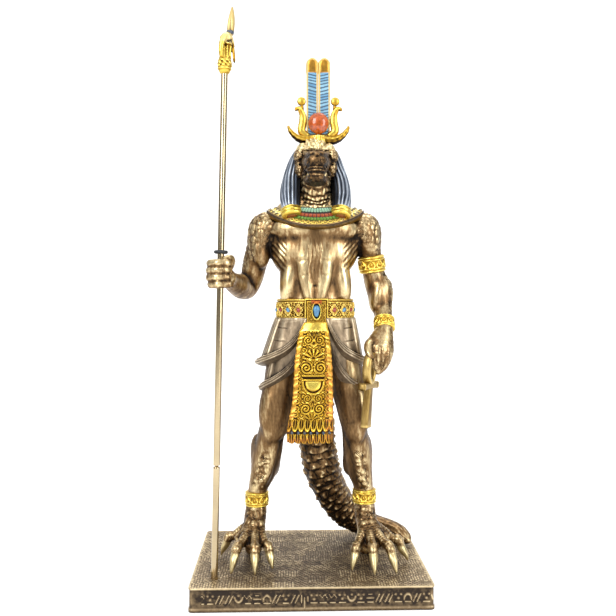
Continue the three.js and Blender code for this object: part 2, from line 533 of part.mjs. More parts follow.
function slab(inset, foot, top) {
  const [wide, deep, corner] = [PLINTH_WIDTH / 2 - inset, PLINTH_DEPTH / 2 - inset, PLINTH_CORNER];
  const outline = new THREE.Shape();
  outline.absarc(wide - corner, deep - corner, corner, 0, PI / 2);
  outline.absarc(corner - wide, deep - corner, corner, PI / 2, PI);
  outline.absarc(corner - wide, corner - deep, corner, PI, 1.5 * PI);
  outline.absarc(wide - corner, corner - deep, corner, 1.5 * PI, 2 * PI);
  const options = { depth: top - foot, bevelEnabled: false, curveSegments: 3 };
  return solid(new THREE.ExtrudeGeometry(outline, options).translate(0, 0, foot));
}

// A row of short raised bars, upright ones and level pairs by turns, that stands for an inscription
function strokes(length, reach, turn) {
  const middle = (PLINTH_FOOT + PLINTH_HEIGHT - PLINTH_LIP) / 2;
  const high = PLINTH_HEIGHT - PLINTH_LIP - PLINTH_FOOT;
  const count = floor((length - 4 * PLINTH_CORNER) / STROKE_PITCH);
  const made = [];
  for (let i = 0; i < count; i++) {
    const x = (i - (count - 1) / 2) * STROKE_PITCH;
    const level = i % 2 === 1;
    const [wide, tall] = level ? [STROKE_PITCH * 0.6, STROKE_THICK] : [STROKE_THICK, high * 0.6];
    for (const s of level ? [-1, 1] : [0]) {
      const bar = new THREE.BoxGeometry(wide, 2 * STROKE_RAISE, tall);
      made.push(solid(bar.translate(x, -reach, middle + s * high * 0.18).rotateZ(turn)));
    }
  }
  return made;
}

function plinth() {
  const panelX = PLINTH_WIDTH / 2 - PANEL_SINK;
  const panelY = PLINTH_DEPTH / 2 - PANEL_SINK;
  const block = join([slab(0, 0, PLINTH_FOOT), slab(PANEL_SINK, 0, PLINTH_HEIGHT),
    slab(0, PLINTH_HEIGHT - PLINTH_LIP, PLINTH_HEIGHT),
    ...strokes(PLINTH_WIDTH, panelY, 0), ...strokes(PLINTH_WIDTH, panelY, PI),
    ...strokes(PLINTH_DEPTH, panelX, PI / 2), ...strokes(PLINTH_DEPTH, panelX, -PI / 2)]);
  return block.subtract(rod(SHAFT_DIAMETER / 2 + CLEARANCE, PLINTH_HEIGHT - SOCKET_DEPTH, PLINTH_HEIGHT + 5));
}

const statuette = new THREE.Group();
statuette.add(
  meshOf("plinth", plinth(), 0x5a4a38, 0.55, 0.5),
  meshOf("figure", figure(), 0x7a5f3c, 0.42, 0.7),
  meshOf("shaft_lower", lowerShaft(), 0xcfa862, 0.25, 1),
  meshOf("shaft_upper", upperShaft(), 0xcfa862, 0.25, 1),
  meshOf("grip_ring", gripRing(), 0x16181a, 0.7, 0),
  meshOf("staff_head", staffHead(), 0xc79a3a, 0.35, 0.8),
);

export default statuette;
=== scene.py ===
"""A crocodile-headed statuette in patinated and painted metal, dressed piece by piece over its solids."""
import json
import math
import sys
from itertools import product

import bpy
import numpy as np
from mathutils import Matrix, Vector
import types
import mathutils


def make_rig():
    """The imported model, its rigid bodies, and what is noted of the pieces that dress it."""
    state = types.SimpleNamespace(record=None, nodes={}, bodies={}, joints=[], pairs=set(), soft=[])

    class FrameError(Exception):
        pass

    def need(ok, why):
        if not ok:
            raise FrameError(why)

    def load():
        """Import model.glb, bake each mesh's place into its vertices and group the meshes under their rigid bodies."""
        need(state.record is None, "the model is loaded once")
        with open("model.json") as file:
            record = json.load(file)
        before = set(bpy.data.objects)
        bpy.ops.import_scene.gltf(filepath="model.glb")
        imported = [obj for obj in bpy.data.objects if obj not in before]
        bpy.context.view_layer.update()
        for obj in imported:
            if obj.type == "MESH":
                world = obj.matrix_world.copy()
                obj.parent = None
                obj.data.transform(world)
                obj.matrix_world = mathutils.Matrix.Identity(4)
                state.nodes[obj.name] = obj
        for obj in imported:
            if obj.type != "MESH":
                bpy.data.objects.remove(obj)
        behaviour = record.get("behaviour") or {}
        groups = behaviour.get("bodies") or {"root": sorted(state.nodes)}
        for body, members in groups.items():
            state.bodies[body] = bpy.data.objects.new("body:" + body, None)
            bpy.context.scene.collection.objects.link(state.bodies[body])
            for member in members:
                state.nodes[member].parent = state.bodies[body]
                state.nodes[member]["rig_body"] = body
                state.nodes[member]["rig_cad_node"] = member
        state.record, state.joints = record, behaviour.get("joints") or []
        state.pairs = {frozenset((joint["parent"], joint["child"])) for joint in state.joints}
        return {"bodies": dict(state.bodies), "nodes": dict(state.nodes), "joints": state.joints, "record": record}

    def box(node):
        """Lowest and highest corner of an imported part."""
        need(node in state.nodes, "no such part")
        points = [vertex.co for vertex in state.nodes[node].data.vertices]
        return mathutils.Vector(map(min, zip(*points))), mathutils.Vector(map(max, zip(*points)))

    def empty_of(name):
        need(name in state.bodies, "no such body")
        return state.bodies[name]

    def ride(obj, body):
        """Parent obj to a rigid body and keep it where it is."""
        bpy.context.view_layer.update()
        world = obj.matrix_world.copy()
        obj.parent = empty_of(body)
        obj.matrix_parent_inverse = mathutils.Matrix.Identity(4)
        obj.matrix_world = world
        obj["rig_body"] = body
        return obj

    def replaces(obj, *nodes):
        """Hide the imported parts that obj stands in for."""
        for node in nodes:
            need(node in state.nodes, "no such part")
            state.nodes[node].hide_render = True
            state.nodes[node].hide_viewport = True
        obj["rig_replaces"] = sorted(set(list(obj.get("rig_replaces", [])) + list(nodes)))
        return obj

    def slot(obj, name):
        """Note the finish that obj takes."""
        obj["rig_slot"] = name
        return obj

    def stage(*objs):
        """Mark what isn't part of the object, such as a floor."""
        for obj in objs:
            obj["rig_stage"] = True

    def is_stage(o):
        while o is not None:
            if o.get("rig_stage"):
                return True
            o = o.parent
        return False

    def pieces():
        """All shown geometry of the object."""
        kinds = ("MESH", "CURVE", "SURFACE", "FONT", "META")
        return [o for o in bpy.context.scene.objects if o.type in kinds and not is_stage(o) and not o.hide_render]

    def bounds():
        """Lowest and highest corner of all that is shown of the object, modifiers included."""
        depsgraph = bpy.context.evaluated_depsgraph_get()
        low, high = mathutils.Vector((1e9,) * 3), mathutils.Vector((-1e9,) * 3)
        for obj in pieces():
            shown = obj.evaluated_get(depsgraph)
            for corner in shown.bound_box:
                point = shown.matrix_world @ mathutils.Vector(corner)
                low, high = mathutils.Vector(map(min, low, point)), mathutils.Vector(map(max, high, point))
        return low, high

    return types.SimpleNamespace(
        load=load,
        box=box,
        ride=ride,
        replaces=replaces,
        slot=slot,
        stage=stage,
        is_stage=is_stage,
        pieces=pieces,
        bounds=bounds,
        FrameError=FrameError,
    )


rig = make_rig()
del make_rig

bl_info = {
    "name": "Crocodile-headed statuette",
    "version": (1, 0, 0),
    "blender": (4, 5, 0),
    "location": "3D View > Sidebar > Statuette",
    "description": "Builds the statuette's skin, dress, crown, staff and plinth over its solids",
    "category": "Object",
}

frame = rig.load()
CAD_LOW, CAD_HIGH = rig.bounds()
FIGURE_LOW, FIGURE_HIGH = (np.array(corner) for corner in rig.box("figure"))
PLINTH_LOW, PLINTH_HIGH = (np.array(corner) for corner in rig.box("plinth"))

# The figure is carved in parts of its height: 254 of them from its soles to its feathers' tips
CARVED_HEIGHT = 254.0
PART = (FIGURE_HIGH[2] - FIGURE_LOW[2]) / CARVED_HEIGHT
FIGURE_FOOT = np.array([0.003, 0.0, FIGURE_LOW[2]])
BODY = "root"


def world(points):
    """Carved parts to metres in the frame."""
    return np.asarray(points, float) * PART + FIGURE_FOOT


def linear(code):
    """An sRGB hex colour as linear red, green, blue."""
    channels = [int(code[i:i + 2], 16) / 255 for i in (1, 3, 5)]
    return tuple(c / 12.92 if c <= 0.04045 else ((c + 0.055) / 1.055) ** 2.4 for c in channels)


def colour(name, code, description):
    """A colour that a user may change."""
    return bpy.props.FloatVectorProperty(name=name, description=description, subtype="COLOR", size=3,
                                         min=0, max=1, default=linear(code))


def length(name, default, description):
    """A length in metres that a user may change."""
    return bpy.props.FloatProperty(name=name, description=description, subtype="DISTANCE", unit="LENGTH",
                                   default=default, min=0.0, precision=5)


class StatuetteSizes(bpy.types.PropertyGroup):
    """Sizes of the skin, the ornament and the staff."""
    body_grid: length("Body grid", 0.00047, "Grid on which the torso, arms and legs are worked")
    head_grid: length("Head grid", 0.00034, "Grid on which the head is worked")
    net_pitch: length("Net scales", 0.0025, "Width of the knobbed scales on the shoulders")
    net_rise: length("Net rise", 0.00052, "Height of those scales")
    scute_pitch: length("Tail scutes", 0.0052, "Length of one row of the tail's plates")
    scute_rise: length("Scute rise", 0.00055, "Height of the tail's plates")
    strand_pitch: length("Wig strands", 0.0022, "Width of one strand of the wig")
    strand_rise: length("Strand rise", 0.0005, "Height of one strand")
    pleat_pitch: length("Hem ridges", 0.0014, "Pitch of the ridges on the kilt's hems")
    scroll_rise: length("Scroll rise", 0.00085, "Height of the apron's scrolls")
    shaft_diameter: length("Shaft diameter", 0.0032, "Diameter of the staff's two shafts")
    weave_grid: length("Plinth weave", 0.00042, "Grid of the woven cuts on the plinth's top")
    belt_gems: bpy.props.IntProperty(name="Belt settings", description="Gem settings round the belt",
                                     default=20, min=4, max=40)


class StatuetteColours(bpy.types.PropertyGroup):
    """Colours of the metals and paints."""
    bronze_deep: colour("Bronze hollow", "#1b120a", "Dark patina left in the hollows")
    bronze_mid: colour("Bronze", "#7c6040", "Brown patina on the skin")
    bronze_high: colour("Bronze rubbed", "#efd9a6", "Metal rubbed bright on the high places")
    pewter_deep: colour("Cloth hollow", "#17110c", "Dark wash in the kilt's folds")
    pewter_mid: colour("Cloth", "#84735d", "Grey-brown of the kilt")
    pewter_high: colour("Cloth rubbed", "#dccbac", "Rubbed edges of the kilt")
    gold_deep: colour("Gold hollow", "#1e1204", "Dark wash between the gold ornament")
    gold_mid: colour("Gold", "#b5892a", "Gold paint in shade")
    gold_high: colour("Gold rubbed", "#f0d868", "Gold paint on the high places")
    orange: colour("Orange", "#c4560e", "Orange paint of the disc and the apron's edge")
    red: colour("Red", "#8e2417", "Red rows and gems")
    green: colour("Green", "#41761f", "Green row of the collar")
    mint: colour("Mint", "#86b8a0", "Pale green row of the collar")
    sky: colour("Sky blue", "#4585b0", "Light blue of the feathers and gems")
    lapis: colour("Deep blue", "#234d6b", "Darker blue between the barbs")
    cream: colour("Cream", "#e6d29a", "Cream gold of the collar's outer rows")
    wig_deep: colour("Wig hollow", "#0e0f15", "Near-black between the strands")
    wig_mid: colour("Wig", "#424b59", "Grey-blue of the wig")
    wig_high: colour("Wig rubbed", "#c9d2de", "Pale blue on the strands")
    peach: colour("Peach", "#dd8b3a", "Orange tint on the apron's edges and the feathers' tips")
    frost: colour("Frost", "#8fbdd2", "Palest blue on the feathers")
    horn: colour("Horn", "#e8d9a4", "Pale yellow of the claws")
    brass: colour("Brass", "#c6b390", "Turned brass of the shafts")
    rubber: colour("Rubber", "#16181a", "Black rubber of the ring on the staff")
    plinth_deep: colour("Plinth hollow", "#2a2017", "Dark wash in the plinth's cuts")
    plinth_mid: colour("Plinth", "#806c50", "Grey-brown of the plinth")
    plinth_high: colour("Plinth rubbed", "#d6c29a", "Rubbed edges of the plinth")


def sizes():
    """The sizes in carved parts, by name."""
    group = bpy.context.scene.statuette_sizes
    return {name: getattr(group, name) / PART for name in group.bl_rna.properties.keys()
            if name.endswith(("grid", "pitch", "rise", "diameter"))}


def shade(name):
    """One of the colours, as a linear triple."""
    return np.array(getattr(bpy.context.scene.statuette_colours, name))


# Curves, noise and patterns

def smooth_path(rows, count):
    """A Catmull-Rom curve through the rows, sampled evenly by row from the first to the last."""
    rows = np.asarray(rows, float)
    ends = np.vstack([2 * rows[0] - rows[1], rows, 2 * rows[-1] - rows[-2]])
    place = np.linspace(0, len(rows) - 1, count)
    span = np.minimum(place.astype(int), len(rows) - 2)
    t = (place - span)[:, None]
    a, b, c, d = (ends[span + i] for i in range(4))
    return 0.5 * (2 * b + (c - a) * t + (2 * a - 5 * b + 4 * c - d) * t**2 + (3 * b - a - 3 * c + d) * t**3)


def unit(vectors):
    """Vectors made one long."""
    return vectors / np.maximum(np.linalg.norm(vectors, axis=-1, keepdims=True), 1e-9)


def step(low, high, value):
    """A smooth rise from 0 at low to 1 at high."""
    t = np.clip((value - low) / (high - low), 0, 1)
    return t * t * (3 - 2 * t)


def bump(value, middle, half):
    """A smooth hump of height 1 at middle that ends half away from it."""
    return np.clip(1 - ((value - middle) / half) ** 2, 0, 1) ** 2


WORD = np.uint64(0xFFFFFFFF)  # keeps the mixed numbers to 32 bits


def hashed(cell, seed):
    """Three numbers from 0 to 1 for each whole-numbered cell, the same in every run."""
    x, y, z = (cell[..., i].astype(np.int64).astype(np.uint64) for i in range(3))
    mixed = (x * np.uint64(73856093)) ^ (y * np.uint64(19349663)) ^ (z * np.uint64(83492791))
    mixed = (mixed ^ np.uint64(seed * 7919 + 17)) & WORD
    numbers = []
    for k in range(3):
        mixed = ((mixed ^ (mixed >> np.uint64(15))) * np.uint64(2246822519) + np.uint64(k)) & WORD
        numbers.append(mixed / 2.0**32)
    return np.stack(numbers, axis=-1)


def numbered(index, seed):
    """Three numbers from 0 to 1 for each whole number."""
    return hashed(np.stack([index, index * 0, index * 0], axis=-1), seed)


def cells(points, pitch, seed=0, loose=0.8):
    """Distances to the two nearest of a scatter of seeds, in pitches; they are equal between two cells."""
    q = points / pitch
    base = np.floor(q)
    first = np.full(len(q), 9.0)
    second = first.copy()
    for offset in product((-1, 0, 1), repeat=3):
        cell = base + offset
        spot = cell + 0.5 + (hashed(cell, seed) - 0.5) * loose
        gap = np.linalg.norm(q - spot, axis=1)
        second = np.minimum(second, np.maximum(first, gap))
        first = np.minimum(first, gap)
    return first, second


def clouds(points, pitch, seed=0):
    """Soft noise from -1 to 1 with lumps about one pitch across."""
    q = points / pitch
    base = np.floor(q)
    t = q - base
    t = t * t * (3 - 2 * t)
    total = np.zeros(len(q))
    for corner in product((0, 1), repeat=3):
        weight = np.prod(np.where(corner, t, 1 - t), axis=1)
        total += weight * hashed(base + corner, seed)[:, 0]
    return 2 * total - 1


# Clay: rounded forms that are blended into one skin

class Limb:
    """A rounded form laid along stations [x, y, z, half-width, half-depth]; the width lies along across."""

    def __init__(self, stations, across=(1, 0, 0), pace=2.5):
        rows = np.array([tuple(s) if len(s) == 5 else (*s, s[3]) for s in stations], float)
        reach = np.linalg.norm(np.diff(rows[:, :3], axis=0), axis=1).sum()
        path = smooth_path(rows, max(5, int(reach / pace) + 2))
        self.points, self.radii = path[:, :3], np.maximum(path[:, 3:], 0.12)
        self.tangent = unit(np.gradient(self.points, axis=0))
        self.over = unit(np.cross(self.tangent, across))
        self.level = unit(np.cross(self.over, self.tangent))
        self.lengths = np.concatenate([[0], np.cumsum(np.linalg.norm(np.diff(self.points, axis=0), axis=1))])

    def measure(self, points, s):
        """Distance from one stretch of the limb, and where along and round it each point lies."""
        start, way = self.points[s], self.points[s + 1] - self.points[s]
        span = way @ way
        t = np.clip(((points - start) @ way) / span, 0, 1)
        q = points - start - t[..., None] * way
        mixed = self.radii[s] + t[..., None] * (self.radii[s + 1] - self.radii[s])
        wide, deep = mixed[..., 0], mixed[..., 1]
        a = (q @ self.level[s]) * (1 - t) + (q @ self.level[s + 1]) * t
        b = (q @ self.over[s]) * (1 - t) + (q @ self.over[s + 1]) * t
        c = np.sqrt(np.maximum((q * q).sum(axis=-1) - a * a - b * b, 0))
        tip = np.minimum(wide, deep)
        near = np.sqrt((a / wide) ** 2 + (b / deep) ** 2 + (c / tip) ** 2)
        slope = np.sqrt((a / wide**2) ** 2 + (b / deep**2) ** 2 + (c / tip**2) ** 2)
        gap = np.where(near < 1e-3, -tip, near * (near - 1) / np.maximum(slope, 1e-6))
        return gap, t, np.arctan2(b / deep, a / wide)

    def distance(self, points, centres, reach):
        """Distance at points[block, sample], worked only on the stretches that lie near each block."""
        middles = (self.points[1:] + self.points[:-1]) / 2
        halves = np.linalg.norm(self.points[1:] - self.points[:-1], axis=1) / 2
        rough = np.linalg.norm(centres[:, None] - middles[None], axis=2) - halves - self.radii[1:].max(axis=1)
        wanted = rough <= rough.min(axis=1, keepdims=True) + 2 * reach + 2
        out = np.full(points.shape[:2], 1e3)
        for s in range(len(middles)):
            rows = np.nonzero(wanted[:, s])[0]
            if len(rows):
                out[rows] = np.minimum(out[rows], self.measure(points[rows], s)[0])
        return out

    def chart(self, points):
        """For each point its distance, its length along the limb and its angle round it."""
        best = np.full(len(points), 1e9)
        along = np.zeros(len(points))
        angle = np.zeros(len(points))
        for s in range(len(self.points) - 1):
            gap, t, turn = self.measure(points, s)
            near = gap < best
            best[near] = gap[near]
            along[near] = (self.lengths[s] + t * (self.lengths[s + 1] - self.lengths[s]))[near]
            angle[near] = turn[near]
        return best, along, angle


class Ball:
    """An ellipsoid at centre with three radii, turned by degrees about X, Y and Z."""

    def __init__(self, centre, radii, turn=(0, 0, 0)):
        self.centre, self.radii = np.array(centre, float), np.array(radii, float)
        x, y, z = (math.radians(v) for v in turn)
        turned = Matrix.Rotation(z, 3, "Z") @ Matrix.Rotation(y, 3, "Y") @ Matrix.Rotation(x, 3, "X")
        self.axes = np.array(turned)

    def distance(self, points, centres, reach):
        q = (points - self.centre) @ self.axes
        near = np.sqrt(((q / self.radii) ** 2).sum(axis=-1))
        slope = np.sqrt(((q / self.radii**2) ** 2).sum(axis=-1))
        return np.where(near < 1e-3, -self.radii.min(), near * (near - 1) / np.maximum(slope, 1e-6))


BLOCK = 8  # grid cells along one side of a block of clay


class Clay:
    """Forms that are added to or cut from one body, whose skin is found on a grid near its surface."""

    def __init__(self, grid):
        self.grid = grid
        self.forms = []

    def add(self, form, soft=2.0):
        self.forms.append((form, soft, 1))

    def cut(self, form, soft=0.8):
        self.forms.append((form, soft, -1))

    def field(self, points, centres, reach):
        value = np.full(points.shape[:2], 1e3)
        for form, soft, sign in self.forms:
            rough = form.distance(centres[:, None, :], centres, reach)[:, 0]
            rows = np.nonzero(rough < 1.7 * reach + soft)[0]
            if not len(rows):
                continue
            old, new = value[rows], form.distance(points[rows], centres[rows], reach)
            near = np.maximum(soft - np.abs(old - sign * new), 0) / soft
            rounding = near * near * soft / 4
            joined = np.minimum(old, new) - rounding if sign > 0 else np.maximum(old, -new) + rounding
            value[rows] = joined
        return value

    def skin(self, low, high):
        """Vertices and four-sided faces of the body's surface inside the box from low to high."""
        side = BLOCK * self.grid
        reach = side * 0.87
        ranges = [np.arange(math.floor(a / side), math.ceil(b / side)) for a, b in zip(low, high)]
        blocks = np.stack(np.meshgrid(*ranges, indexing="ij"), -1).reshape(-1, 3)
        centres = (blocks + 0.5) * side
        keep = np.abs(self.field(centres[:, None, :], centres, reach)[:, 0]) < 1.6 * reach
        corner, centres = blocks[keep] * BLOCK, centres[keep]
        edge = np.arange(BLOCK + 1)
        local = np.stack(np.meshgrid(edge, edge, edge, indexing="ij"), -1).reshape(-1, 3)
        value = self.field((corner[:, None, :] + local) * self.grid, centres, reach)
        return self.net(value.reshape(-1, BLOCK + 1, BLOCK + 1, BLOCK + 1), corner)

    def net(self, value, corner):
        """One vertex in each grid cell that the surface crosses, and a face for each crossed grid edge."""
        inside = value < 0
        count = sum(inside[:, i:i + BLOCK, j:j + BLOCK, k:k + BLOCK].astype(np.int8)
                    for i, j, k in product((0, 1), repeat=3))
        found = np.nonzero((count > 0) & (count < 8))
        spot = np.stack(found[1:], axis=1)
        total, hits = np.zeros((len(spot), 3)), np.zeros(len(spot))
        for axis in range(3):
            for a, b in product((0, 1), repeat=2):
                start = np.insert(np.array([a, b]), axis, 0)
                end = start.copy()
                end[axis] = 1
                first = value[(found[0], *(spot + start).T)]
                last = value[(found[0], *(spot + end).T)]
                crossed = (first < 0) != (last < 0)
                share = np.where(crossed, first / np.where(crossed, first - last, 1), 0)
                total += np.where(crossed[:, None], start + share[:, None] * (end - start), 0)
                hits += crossed
        cell = corner[found[0]] + spot
        lowest, extent = cell.min(axis=0) - 2, np.ptp(cell, axis=0) + 5

        def number(where):
            x, y, z = (where - lowest).T
            return (x * extent[1] + y) * extent[2] + z

        order = np.argsort(number(cell))
        known = number(cell)[order]
        points = ((cell + total / hits[:, None]) * self.grid)[order]
        faces = []
        for axis in range(3):
            cut = [slice(0, BLOCK)] * 3
            first = inside[(slice(None), *cut)]
            cut[axis] = slice(1, BLOCK + 1)
            crossed = np.nonzero(first != inside[(slice(None), *cut)])
            here = corner[crossed[0]] + np.stack(crossed[1:], axis=1)
            one, two = np.eye(3, dtype=int)[(axis + 1) % 3], np.eye(3, dtype=int)[(axis + 2) % 3]
            numbers = np.stack([number(c) for c in (here, here - one, here - one - two, here - two)], axis=1)
            found_at = np.minimum(np.searchsorted(known, numbers), len(known) - 1)
            whole = (known[found_at] == numbers).all(axis=1)
            outward = first[crossed]
            faces.append(np.where(outward[:, None], found_at, found_at[:, ::-1])[whole])
        return points, np.vstack(faces)


# Meshes

def links_of(faces, count):
    """The two ends of each face edge, and how many of them meet at each vertex."""
    following = np.roll(faces, -1, axis=1)
    triangle = faces[:, 3] < 0
    following[triangle, 2] = faces[triangle, 0]
    real = faces >= 0
    a, b = faces[real], following[real]
    both = np.bincount(a, minlength=count) + np.bincount(b, minlength=count)
    return a, b, np.maximum(both, 1)


def eased(values, links):
    """Each vertex's value averaged over its neighbours."""
    a, b, both = links
    columns = [np.bincount(a, values[b, k], len(both)) + np.bincount(b, values[a, k], len(both))
               for k in range(values.shape[1])]
    return np.stack(columns, axis=1) / both[:, None]


def normals_of(points, faces):
    """Unit normals at the vertices."""
    corners = points[np.where(faces < 0, faces[:, :1], faces)]
    face = np.cross(corners[:, 2] - corners[:, 0], corners[:, 3] - corners[:, 1])
    triangle = faces[:, 3] < 0
    first, second, third = corners[triangle, :3].transpose(1, 0, 2)
    face[triangle] = np.cross(second - first, third - first)
    total = np.zeros_like(points)
    for k in range(4):
        real = faces[:, k] >= 0
        for axis in range(3):
            total[:, axis] += np.bincount(faces[real, k], face[real, axis], len(points))
    return unit(total)


def bend(points, links, normals):
    """How sharply the surface turns at each vertex, whatever its neighbours' spacing; below 0 in a hollow."""
    a, b, both = links
    gap = ((points[a] - points[b]) ** 2).sum(axis=1)
    spread = (np.bincount(a, gap, len(both)) + np.bincount(b, gap, len(both))) / both
    return ((points - eased(points, links)) * normals).sum(axis=1) / np.maximum(spread, 1e-6)


def standing(points, faces, level=0.5, under=0.2, fine=0.28, broad=0.055, rounds=(2, 22)):
    """From 0 in the hollows to 1 on the high places, by how sharply the surface turns, finely and broadly.
    Flat places get the level, and faces that look down lose up to under, as brushed-on metal misses them."""
    links = links_of(faces, len(points))
    normals = normals_of(points, faces)
    soft, turns = points, []
    for number in range(rounds[1] + 1):
        if number in rounds:
            turns.append(bend(soft, links, normals))
        soft = eased(soft, links)
    score = 0.55 * np.tanh((turns[0] - turns[1]) / fine) + 0.55 * np.tanh(turns[1] / broad)
    return np.clip(level + 0.5 * score - under * np.clip(-normals[:, 2], 0, 1), 0, 1)


def build_mesh(name, points, faces):
    """A mesh object from vertices in the figure's parts and faces of four corners, or three and a -1."""
    mesh = bpy.data.meshes.new(name)
    triangle = faces[:, 3] < 0
    corners = faces[faces >= 0]
    starts = np.concatenate([[0], np.cumsum(np.where(triangle, 3, 4))[:-1]])
    mesh.vertices.add(len(points))
    mesh.vertices.foreach_set("co", world(points).astype(np.float32).ravel())
    mesh.loops.add(len(corners))
    mesh.loops.foreach_set("vertex_index", corners.astype(np.int32))
    mesh.polygons.add(len(faces))
    mesh.polygons.foreach_set("loop_start", starts.astype(np.int32))
    mesh.update(calc_edges=True)
    mesh.validate()
    mesh.shade_smooth()
    made = bpy.data.objects.new(name, mesh)
    bpy.context.scene.collection.objects.link(made)
    return made


def give(made, name, values):
    """A float or colour for each vertex, or one for all, under a name that a material reads."""
    count, values = len(made.data.vertices), np.asarray(values, np.float32)
    if values.shape[-1:] == (3,):
        values = np.hstack([np.broadcast_to(values, (count, 3)), np.ones((count, 1), np.float32)])
        made.data.attributes.new(name, "FLOAT_COLOR", "POINT").data.foreach_set("color", values.ravel())
    else:
        values = np.ascontiguousarray(np.broadcast_to(values, count))
        made.data.attributes.new(name, "FLOAT", "POINT").data.foreach_set("value", values)


DENSE = 12000  # vertices; a piece with more is thinned, first where it is nearly flat
MOST_KEPT, SKIN_KEPT, SHEET_KEPT = 0.43, 0.62, 0.28  # shares of the faces kept, for under a million in all


def piece(name, points, faces, material, node="figure", coat=None, paint=None, horn=None, raised=None,
          height=None, kept=MOST_KEPT, **how):
    """A finished piece: its mesh, the masks that its material reads, and the node that it stands for.
    A height from 0 to 1 sharpens the wash between ornament where the relief is a known pattern."""
    made = build_mesh(name, points, faces)
    if raised is None:
        raised = standing(points, faces, **how)
    if height is not None:
        raised = np.clip(0.45 * raised + 0.62 * height, 0, 1)
    give(made, "raised", raised)
    if coat is not None:
        give(made, "coat", coat)
        give(made, "paint", paint)
    if horn is not None:
        give(made, "horn", horn)
    made.data.materials.append(finish(material))
    if len(points) > DENSE:
        thinned = made.modifiers.new("thinned", "DECIMATE")
        thinned.ratio = kept
        applied(made, thinned)
    return settle(made, node)


def applied(made, modifier):
    """The object with its modifier worked into its mesh."""
    graph = bpy.context.evaluated_depsgraph_get()
    mesh = bpy.data.meshes.new_from_object(made.evaluated_get(graph))
    made.modifiers.remove(modifier)
    old, made.data = made.data, mesh
    bpy.data.meshes.remove(old)
    return made


SLOTS = {"figure": "figure_bronze", "plinth": "plinth_bronze", "shaft_lower": "shaft_brass",
         "shaft_upper": "shaft_brass", "grip_ring": "ring_rubber", "staff_head": "gold_paint"}


def settle(made, node):
    """Puts a piece on the one body, in place of the solid that it dresses."""
    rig.ride(made, BODY)
    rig.replaces(made, node)
    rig.slot(made, SLOTS[node])
    return made


def ring_faces(rows, columns, closed=True):
    """Faces of a grid of rows, each a ring if closed."""
    r, c = np.meshgrid(np.arange(rows - 1), np.arange(columns if closed else columns - 1), indexing="ij")
    here, below, c = r.ravel() * columns, (r.ravel() + 1) * columns, c.ravel()
    nxt = (c + 1) % columns
    return np.stack([here + c, here + nxt, below + nxt, below + c], axis=1)


def fan(ring, pole, flip):
    """Triangles from a ring of vertices to a pole."""
    nxt = np.roll(ring, -1)
    sides = (nxt, ring) if flip else (ring, nxt)
    return np.stack([*sides, np.full(len(ring), pole), np.full(len(ring), -1)], axis=1)


def capped(grid, start, end):
    """A closed skin over a grid of rings, drawn together to a point at each end."""
    rows, columns = grid.shape[:2]
    last = rows * columns
    faces = np.vstack([ring_faces(rows, columns), fan(np.arange(columns), last, True),
                       fan(np.arange(last - columns, last), last + 1, False)])
    return np.vstack([grid.reshape(-1, 3), start, end]), faces


def looped(grid):
    """A closed skin over a grid of rings, whose last ring joins the first."""
    rows, columns = grid.shape[:2]
    return grid.reshape(-1, 3), ring_faces(rows + 1, columns) % (rows * columns)


def swept(stations, columns, rows, relief=None, across=(1, 0, 0), blunt=0.05, shape=1.0):
    """A closed tube along stations, as Limb's. relief(along, angle, share) adds height, shape squares it."""
    table = np.array([tuple(s) if len(s) == 5 else (*s, s[3]) for s in stations], float)
    path = smooth_path(table, rows * 4)
    reach = np.concatenate([[0], np.cumsum(np.linalg.norm(np.diff(path[:, :3], axis=0), axis=1))])
    share = np.linspace(0, 1, rows + 2)[1:-1]
    place = np.interp(share * reach[-1], reach, np.arange(len(reach)))
    line = np.stack([np.interp(place, np.arange(len(path)), path[:, k]) for k in range(5)], axis=1)
    tangent = unit(np.gradient(line[:, :3], axis=0))
    over = unit(np.cross(tangent, across))
    level = unit(np.cross(over, tangent))
    closing = np.sqrt(1 - (1 - np.minimum(1, np.minimum(share, 1 - share) / blunt)) ** 2)
    angle = np.linspace(0, 2 * np.pi, columns, endpoint=False)
    cosine, sine = (np.sign(f) * np.abs(f) ** shape for f in (np.cos(angle), np.sin(angle)))
    offset = (level[:, None] * (line[:, 3] * closing)[:, None, None] * cosine[None, :, None]
              + over[:, None] * (line[:, 4] * closing)[:, None, None] * sine[None, :, None])
    grid = line[:, None, :3] + offset
    if relief is not None:
        along = np.repeat(share * reach[-1], columns)
        height = relief(along, np.tile(angle, rows), np.repeat(share, columns)).reshape(rows, columns)
        grid = grid + unit(offset) * (height * closing[:, None])[..., None]
    return capped(grid, path[0, :3], path[-1, :3])


def slab(front, back, closed=False):
    """A closed sheet between two grids [row, column, xyz]; closed joins its last column to its first."""
    rows, columns = front.shape[:2]
    points = np.vstack([front.reshape(-1, 3), back.reshape(-1, 3)])
    face = ring_faces(rows, columns, closed)
    count = rows * columns
    number = np.arange(count).reshape(rows, columns)
    if closed:
        borders = [np.append(number[0], number[0, 0]), np.append(number[-1], number[-1, 0])[::-1]]
    else:
        borders = [np.concatenate([number[0], number[1:, -1], number[-1, -2::-1], number[-2::-1, 0]])]
    sides = [np.stack([b[1:], b[:-1], b[:-1] + count, b[1:] + count], axis=1) for b in borders]
    return points, np.vstack([face, face[:, ::-1] + count, *sides])


def both_sides(seen, hidden):
    """Values all over a slab: those of its seen grid, then one for the whole of its hidden side."""
    seen = seen.reshape(-1, *seen.shape[2:])
    return np.concatenate([seen, np.broadcast_to(hidden, seen.shape)])


def grid_normals(grid, closed=False):
    """Normals of a grid [row, column, xyz], on the side that the slab's front shows."""
    if closed:
        across = np.roll(grid, -1, axis=1) - np.roll(grid, 1, axis=1)
    else:
        across = np.gradient(grid, axis=1)
    return unit(np.cross(across, np.gradient(grid, axis=0)))


